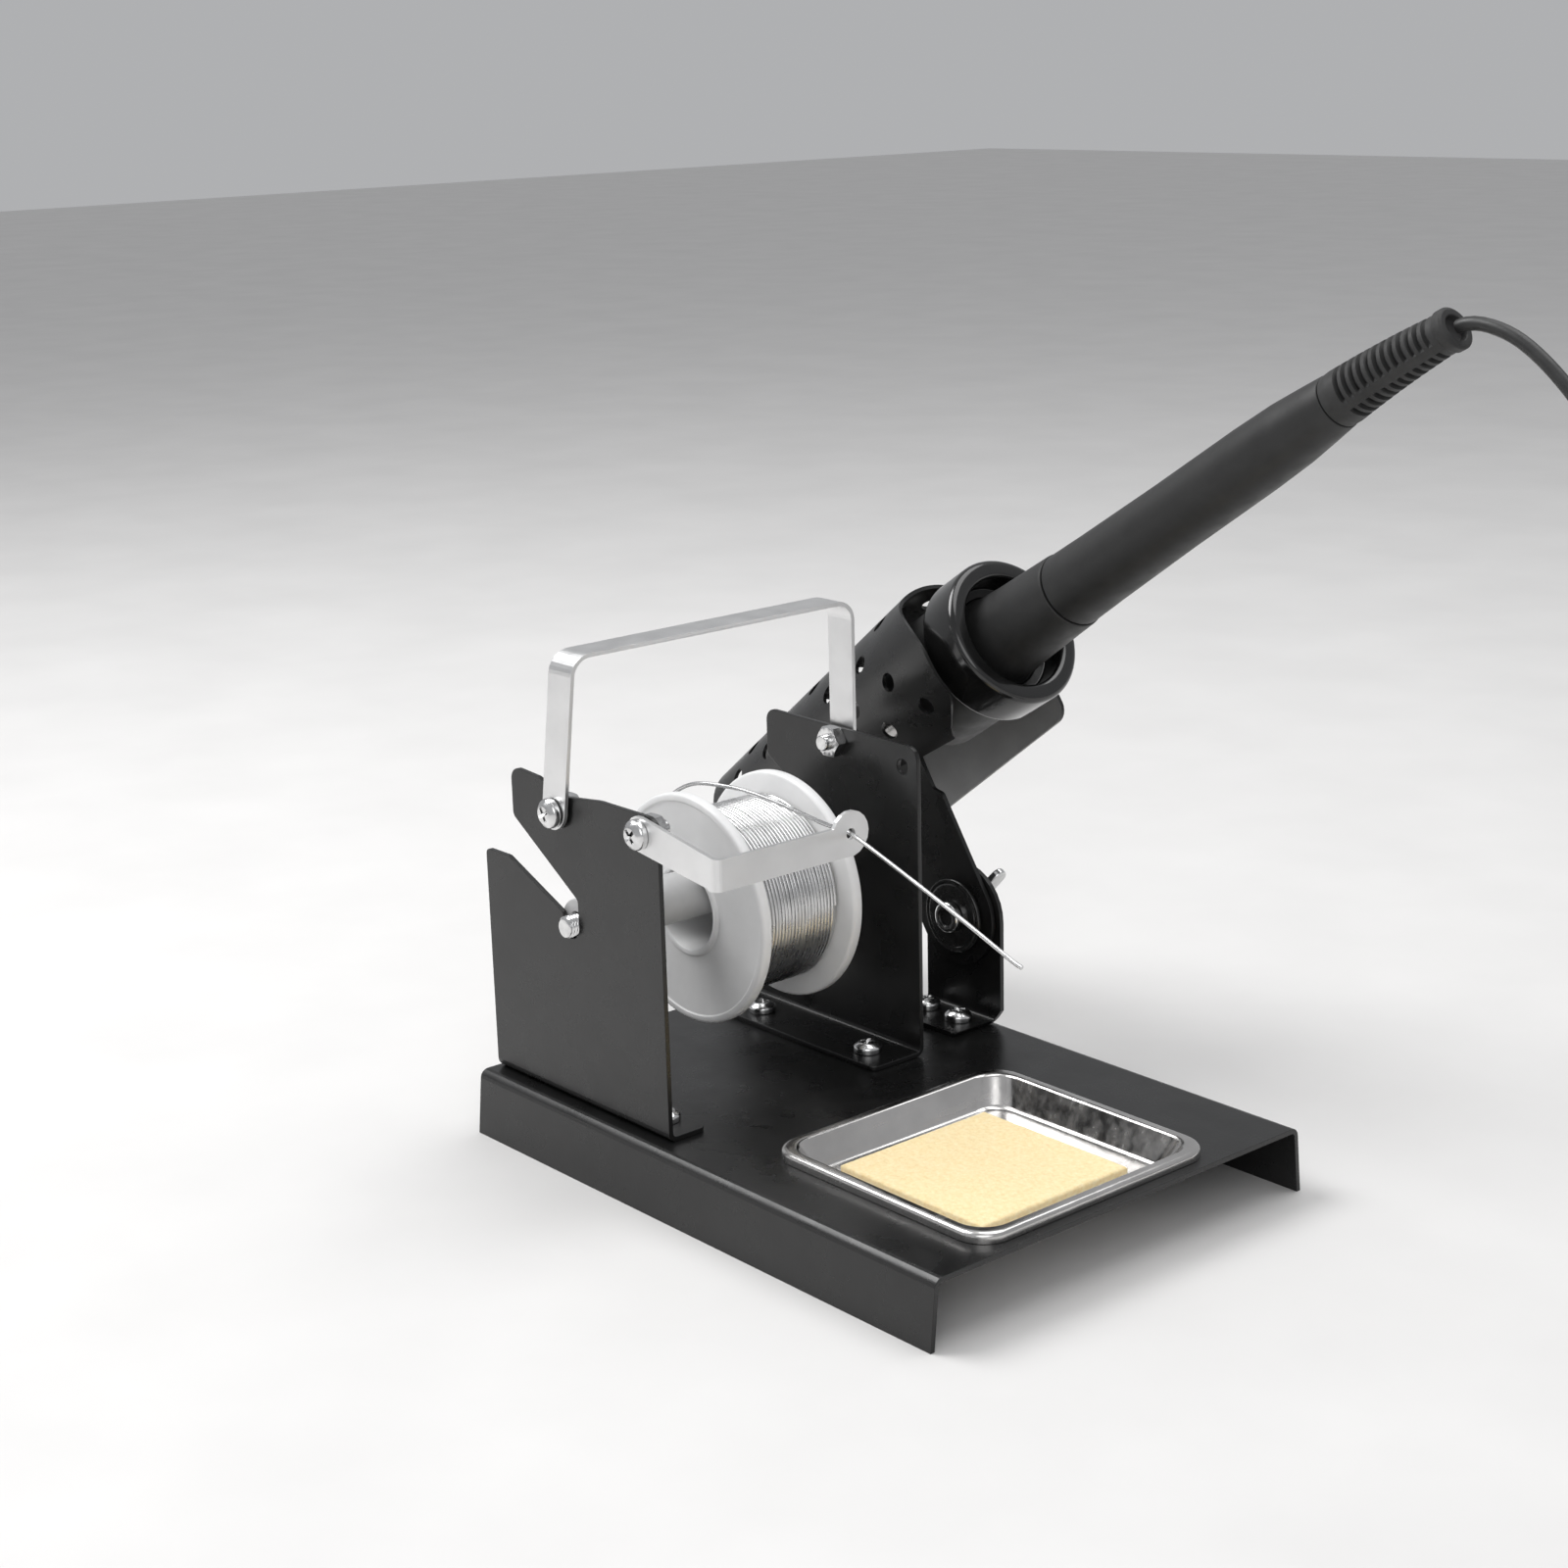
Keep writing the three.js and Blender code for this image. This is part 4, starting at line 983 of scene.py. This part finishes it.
def rolled_sheet():
    """The sheet wraps the cone from its near edge over the top to the far side, and runs on from
    there as a flat tail plate under the mouth."""
    step, length = 4, HOLDER["length"]
    columns = [(angle, 0) for angle in range(WRAP_END, -1, -step)]
    columns += [(0, share) for share in (0.15, 0.3, 0.45, 0.6, 0.7, 0.8, 0.85, 0.9, 0.94, 0.97, 0.99, 1)]
    rows = 25

    def wall(angle, tail, share, depth):
        low, high, low_drop, high_drop = -length, mouth_edge(angle), 0, 0
        if tail > 0:
            bend = max(0, (tail - 0.8) / 0.2)
            low += TAIL["low"] * tail * tail
            high = TAIL["high"] * smoothstep(tail, 0, 0.75)
            high -= TAIL["corner"] * (1 - math.sqrt(1 - bend * bend))
            low_drop, high_drop = TAIL["low_drop"] * tail, TAIL["high_drop"] * tail
        z = low + (high - low) * share
        drop = low_drop + (high_drop - low_drop) * share
        radius = cone_radius(z) - depth
        turn = math.radians(angle)
        return (-math.sin(turn) * radius + drop, math.cos(turn) * radius, z)

    points, faces = [], []
    for angle, tail in columns:
        for i in range(rows):
            share = i / (rows - 1)
            points.append(wall(angle, tail, share, 0))
            points.append(wall(angle, tail, share, HOLDER["sheet"]))
    last = len(columns) - 1

    def v(column, row, inner):
        return (column * rows + row) * 2 + inner

    for c in range(last):
        for r in range(rows - 1):
            faces.append((v(c, r, 0), v(c + 1, r, 0), v(c + 1, r + 1, 0), v(c, r + 1, 0)))
            faces.append((v(c, r + 1, 1), v(c + 1, r + 1, 1), v(c + 1, r, 1), v(c, r, 1)))
        for r in (0, rows - 1):
            rim = (v(c, r, 0), v(c, r, 1), v(c + 1, r, 1), v(c + 1, r, 0))
            faces.append(rim if r == 0 else rim[::-1])
    for r in range(rows - 1):
        faces.append((v(0, r, 1), v(0, r, 0), v(0, r + 1, 0), v(0, r + 1, 1)))
        faces.append((v(last, r, 0), v(last, r, 1), v(last, r + 1, 1), v(last, r + 1, 0)))
    return points, faces


def pivot_tab():
    """The flat tab under the near edge: two bend notches above, a round end below."""
    half, station, drop = TAB["half_width"], TAB["station"], TAB["drop"]
    low, high, notch = station - half, station + half, 2.2
    line = closed_outline([
        (8, low + notch, 0), (25.5, low + notch, 1.5), (27.5, low, 2),
        (drop + half, low, half - 0.01), (drop + half, high, half - 0.01),
        (27.5, high, 2), (25.5, high - notch, 1.5), (8, high - notch, 0),
    ], 14)
    points, faces = plate(line, 0, SHEET)
    face = TAB["front"]
    return [(a, face + SHEET - depth, b) for a, b, depth in points], faces


def vent_drills():
    """Rows of drills that stand square to the cone, each row starting at its own height."""
    drills = []
    for angle, first in VENT_ROWS:
        z = first
        turn = math.radians(angle)
        while z > 12 - HOLDER["length"]:
            radius = cone_radius(z)
            stand = Matrix.Translation((-radius * math.sin(turn), radius * math.cos(turn), z))
            drills.append(moved(pin(VENT_RADIUS, 4, 28), stand @ Matrix.Rotation(turn, 4, "Z") @ TO_BACK))
            z -= VENT_PITCH
    return together(*drills)


def is_inner_tail(centre, normal):
    """Picks the tail plate's inner side, without its rims and the cone above it."""
    return normal.y < -0.7 and centre.y > 0 and 1 < centre.x < 22.5 - 0.055 * centre.z


def is_ring_inside(centre, normal):
    """Picks the ring's neck and the inside of its mouth."""
    reach = math.hypot(centre.x, centre.y)
    return centre.z < RING["back"] - 1 or reach < RING["bore"] - 0.3 and centre.z < RING["front"] - 3


def iron_holder():
    far = HOLDER["length"] + 20
    inside = lathe([
        Vector((0, -far)), Vector((cone_radius(-far) - HOLDER["sheet"], -far)),
        Vector((cone_radius(40) - HOLDER["sheet"], 40)), Vector((0, 40)),
    ], 90)
    hole_place = Matrix.Translation((TAB["drop"], TAB["front"], TAB["station"])) @ TO_BACK
    tab = build("tab", *pivot_tab(), placement=TILTED)
    carve(tab, inside)
    carve(tab, moved(pin(PIVOT_HOLE, 6, 24), hole_place))
    shell = build("holder_sheet", *rolled_sheet(), placement=TILTED)
    carve(shell, vent_drills())
    whole = together(shape_of(shell), shape_of(tab))
    bpy.data.objects.remove(tab)
    bpy.data.objects.remove(shell)
    return build("holder_sheet", *whole, placement=TILTED, crease=40)


def mouth_ring():
    """The glossy collar: a fat rounded ring with a stepped inside and a neck into the sheet."""
    r = RING
    seat, neck_radius = -12, 16.4
    line = rounded([
        (r["step"], 0, 0), (r["step"], seat, 0), (neck_radius, seat, 0.5),
        (neck_radius, r["back"] - 2, 1.5),
        (r["radius"], r["back"], 1.6), (r["radius"], r["front"], 1.7), (r["bore"], r["front"], 1.4),
        (r["bore"], r["front"] - 7, 0.6), (r["step"], r["front"] - 7.5, 0.3), (r["step"], 0, 0),
    ], 6)
    return build("mouth_ring", *lathe(line, 120), placement=TILTED)


sheet_piece = finish(iron_holder(), BLACK, "holder", ["iron_holder"])
# The tail plate's inner side gets the lighter grey material, a painted sheen of the soft light on the black
# sheet.
paint_faces(sheet_piece, INNER_PAINTED_SHEEN, is_inner_tail)
ring_piece = finish(mouth_ring(), BAKELITE, "holder", ["holder_ring"])
paint_faces(ring_piece, GRIP, is_ring_inside)


# ---------------------------------------------------------------- iron
def turned(name, corners, material, node, sides=96, body="iron"):
    piece = build(name, *lathe(rounded(corners, 5), sides), placement=TILTED)
    return finish(piece, material, body, [node])


seam, neck, end = IRON["seam"], IRON["neck"], IRON["end"]
turned("iron_front_collar", [
    (0, 8, 0), (11.9, 8, 0.5), (11.9, 15, 1.2), (11.2, 17, 1.5), (10.5, 26, 30),
    (9.7, seam - 0.9, 4), (9.6, seam - 0.3, 0.25), (0, seam - 0.3, 0),
], GRIP, "iron_collar")
turned("iron_grip", [
    (0, seam, 0), (9.4, seam, 0.4), (9.0, seam + 12, 60), (8.4, seam + 38, 90), (8.1, seam + 66, 40),
    (7.7, seam + 78, 30), (6.9, seam + 87, 20), (6.35, neck - 0.3, 0.3), (0, neck - 0.3, 0),
], GRIP, "iron_handle")
turned("element_nut", [
    (0, -10, 0), (7.6, -10, 0.3), (8.4, -8.5, 0.5), (8.4, 6, 0.6), (7.8, 7.7, 0.4), (0, 7.7, 0),
], ZINC, "barrel_nut")
turned("element_barrel", [
    (0, -50, 0), (5.2, -50, 0.9), (5.2, -10.3, 0.2), (0, -10.3, 0),
], STAINLESS, "heater_barrel")
turned("pointed_tip", [
    (0, -88, 0), (0.7, -87.7, 0.3), (2.4, -72, 3), (2.4, -50.3, 0), (0, -50.3, 0),
], TIP, "soldering_tip")


def relief():
    """A tapered sleeve with two rows of slots beside a spine, a rim at its end, and a slight sag."""
    rows, sides = 260, 72
    length = end - neck
    pitch = (length - 7.8) / RELIEF_SLOTS
    outer = rounded([
        (6.2, 0, 0), (6.3, 2, 2), (5.3, 18, 30), (4.5, length - 3, 1.5), (4.5, length - 2.4, 0.2),
        (4.9, length - 2.2, 0.2), (4.9, length - 0.4, 0.4), (4.2, length, 0),
    ], 6)

    def outer_radius(along):
        for low, high in zip(outer, outer[1:]):
            if along <= high.y + 1e-9:
                share = (along - low.y) / max(high.y - low.y, 1e-9)
                return low.x + (high.x - low.x) * min(1, max(0, share))
        return outer[-1].x

    def point(i, j):
        along = length * i / (rows - 1)
        angle = 2 * math.pi * j / sides
        radius = outer_radius(along)
        slot = (along - 4.6) / pitch
        if 0 <= slot < RELIEF_SLOTS:
            phase = slot % 1
            depth = radius - (4.9 - 1.5 * int(slot) / RELIEF_SLOTS)
            spine = smoothstep(abs(math.sin(angle - SPINE_TURN)) * radius, 1.1, 1.5)
            open_here = smoothstep(phase, 0, 0.09) * (1 - smoothstep(phase, 0.47, 0.56))
            radius -= depth * open_here * spine
        sag = IRON["sag"] * (along / length) ** 2
        return (radius * math.cos(angle) + sag, radius * math.sin(angle), neck + along)

    body = grid(rows, sides, point, around=True)
    cup = rounded([(4.2, length, 0), (3.0, length, 0.3), (2.7, length - 1.6, 0.3), (0, length - 1.8, 0)])
    cup = moved(lathe(cup, sides), Matrix.Translation((IRON["sag"], 0, neck)))
    foot = [tuple(range(sides))[::-1]]
    whole = together((body[0], body[1] + foot), cup)
    return build("relief_sleeve", *whole, placement=TILTED, crease=50)


finish(relief(), RUBBER, "iron", ["strain_relief"])


# ---------------------------------------------------------------- pivot hardware
def wing_nut():
    """A tapered hub with two upswept ears."""
    hub = rounded([
        (2.1, 3, 0), (2.1, 0, 0.2), (5, 0, 0.4), (4.1, 5.5, 0.5), (2.1, 5.5, 0.3), (2.1, 3, 0),
    ])
    shapes = [lathe(hub, 48)]
    for turn in (0, math.pi):
        line = closed_outline([(2.6, 1, 0), (6.5, 1, 1.5), (13.4, 5.4, 2.2), (12, 9.2, 2), (2.6, 4.8, 0)], 6)
        wing = moved(plate(line, -0.9, 0.9), Matrix.Rotation(math.pi / 2, 4, "X"))
        shapes.append(moved(wing, Matrix.Rotation(turn, 4, "Z")))
    turn = TO_BACK @ Matrix.Rotation(WING_TURN, 4, "Z")
    place = placed(PIVOT[0], UPRIGHT_FRONT + SHEET + 0.3, PIVOT[1], turn)
    piece = build("pivot_wing_nut", *together(*shapes), placement=place)
    bevelled(piece, 0.35, 3, 50)
    return piece


def is_bolt_rim_highlight(centre, normal):
    """Picks the rim of the bolt's head, given bright zinc as a painted highlight."""
    return math.hypot(centre.x, centre.y) > 2.9 and centre.z > 0.3


tab_face = HOLDER["y"] + TAB["front"]
washer_line = rounded([
    (2.2, 0.6, 0), (2.2, 1.2, 0.15), (7.9, 1.2, 0.4), (8.3, 0.9, 0.3), (9.5, 1.2, 0.45), (9.5, 0, 0.2),
    (2.2, 0, 0.15), (2.2, 0.6, 0),
])
disc_back = tab_face - DISC["gap"]
washer_place = placed(PIVOT[0], disc_back, PIVOT[1], TO_FRONT)
washer = build("pivot_disc", *lathe(washer_line[::-1], 96), placement=washer_place)
finish(washer, BOLT_BLACK, "station", ["pivot_washer"])
bolt_line = rounded([
    (0, -12.3, 0), (1.95, -12.3, 0.3), (1.95, 0, 0), (4, 0, 0.2), (4, 2.2, 0.7), (2.4, 2.2, 0.3),
    (2.2, 1.7, 0.3), (0, 1.7, 0),
])
bolt_place = placed(PIVOT[0], disc_back - DISC["thickness"] - FILM, PIVOT[1], TO_FRONT)
bolt = build("pivot_screw", *lathe(bolt_line, 72), placement=bolt_place)
finish(bolt, BOLT_BLACK, "station", ["pivot_bolt"])
# The rim of the bolt's black head is painted bright zinc, a painted highlight ring.
paint_faces(bolt, ZINC, is_bolt_rim_highlight)
finish(wing_nut(), ZINC, "wing", ["wing_nut"])


# ---------------------------------------------------------------- cord, tie and plug
for piece in (cord_a, cord_b):
    finish(piece, JACKET, None)


def cord_tie():
    """A strap over the coil's bundle, on the side away from the lead-in."""
    inner, outer = COIL["inner"] - CORD_RADIUS - 0.35, COIL["outer"] + CORD_RADIUS + 0.35
    high, thick = 6.65, 0.7
    line = closed_outline([
        (inner - thick, 0.02, 0), (inner, 0.02, 0), (inner, high, 0.6), (outer, high, 0.6), (outer, 0.02, 0),
        (outer + thick, 0.02, 0), (outer + thick, high + thick, 1.2), (inner - thick, high + thick, 1.2),
    ], 5)
    shape = moved(plate(line, -2.5, 2.5), Matrix.Rotation(math.pi / 2, 4, "X"))
    return build("coil_tie", *shape, placement=placed(COIL["x"], COIL["y"], 0))


def plug_body():
    """A flat two-pin plug: a tapered neck, then a wide body with grip ribs round it."""
    length = PLUG["length"]
    stations = [(0, 2.3, 2.3), (0.6, 2.6, 2.6), (9, 4.0, 3.4), (14, 8.5, 5.6), (19, 12.6, 6.6),
                (26, 13.4, 6.9), (length - 2, 13.6, 7.0), (length - 0.6, 13.3, 6.8), (length, 12.8, 6.4)]
    neck_end, body_start, rib_pitch = 9, 19, 2.5
    rings = []
    rows = 90
    for i in range(rows):
        along = length * i / (rows - 1)
        for low, high in zip(stations, stations[1:]):
            if low[0] <= along <= high[0] + 1e-9:
                swells = neck_end <= low[0] < body_start
                share = (along - low[0]) / (high[0] - low[0])
                t = smoothstep(along, low[0], high[0]) if swells else share
                wide, tall = (low[k] + (high[k] - low[k]) * t for k in (1, 2))
        if body_start < along < body_start + 4 * rib_pitch:
            rib = 0.25 * max(0, math.sin(2 * math.pi * (along - body_start) / rib_pitch))
            wide, tall = wide - rib, tall - rib
        rings.append(rounded_ring(tall, wide, min(tall, wide) * 0.8, along, 7))
    shape = grid(rows, len(rings[0]), lambda i, j: rings[i][j], around=True, capped=True)
    return build("cord_plug", *shape, placement=placed(PLUG["x"], PLUG["y"], PLUG["z"], TO_LEFT))


tie = finish(cord_tie(), PLUG_PLASTIC, "station", ["cord_tie"])
plug = finish(plug_body(), PLUG_PLASTIC, "station", ["plug_body"])
for name, node, y in (("prong_a", "plug_pin_left", 9.5), ("prong_b", "plug_pin_right", -9.5)):
    length, reach = PLUG["length"], PLUG["pin"]
    line = rounded([
        (0, length + 0.3, 0), (2, length + 0.3, 0), (2, length + reach, 1.2), (0, length + reach, 0),
    ], 5)
    prong = build(name, *lathe(line, 40), placement=placed(PLUG["x"], PLUG["y"] + y, PLUG["z"], TO_LEFT))
    finish(prong, ZINC, "station", [node])

at(*upper_line[0])
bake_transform(cord_a)
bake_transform(cord_b)
at(*upper_line[0])
length_of(upper_line) * MM
[at(*p) for p in upper_line]
length_of(lower_line) * MM
[at(*p) for p in lower_line]


# ---------------------------------------------------------------- floor, light and world
def studio():
    """A pale floor, a soft even sky and three large lamps. Metres and watts."""
    half = 4
    corners = [(-half, -half, 0), (half, -half, 0), (half, half, 0), (-half, half, 0)]
    mesh = bpy.data.meshes.new("floor")
    mesh.from_pydata(corners, [], [(0, 1, 2, 3)])
    mesh.materials.append(pale_floor())
    floor = bpy.data.objects.new("floor", mesh)
    bpy.context.scene.collection.objects.link(floor)
    floor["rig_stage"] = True
    world = bpy.data.worlds.new("studio")
    world.use_nodes = True
    back = world.node_tree.nodes["Background"]
    back.inputs["Color"].default_value = (0.86, 0.87, 0.89, 1)
    back.inputs["Strength"].default_value = 0.5
    bpy.context.scene.world = world
    bpy.context.scene.view_settings.view_transform = "Standard"
    middle = at(80, 60, 70)
    for name, place, size, power in (
        ("key", (-0.55, -0.35, 0.85), 0.7, 8.5),
        ("fill", (0.75, -0.65, 0.55), 0.8, 2.5),
        ("top", (0.1, 0.35, 1.0), 0.9, 5),
    ):
        light = bpy.data.lights.new(name, "AREA")
        light.shape = "DISK"
        light.size = size
        light.energy = power
        lamp = bpy.data.objects.new(name, light)
        bpy.context.scene.collection.objects.link(lamp)
        spot = middle + Vector(place)
        lamp.location = spot
        lamp.rotation_euler = (middle - spot).to_track_quat("-Z", "Y").to_euler()


studio()


def settle(piece):
    """Moves a piece's place into its own mesh, so that its box in the row frame is tight."""
    piece.data = piece.data.copy()
    piece.data.transform(piece.matrix_world)
    piece.matrix_world = Matrix.Identity(4)


bpy.context.view_layer.update()
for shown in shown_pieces():
    if shown.type == "MESH" and "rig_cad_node" not in shown:
        settle(shown)
bpy.context.view_layer.update()
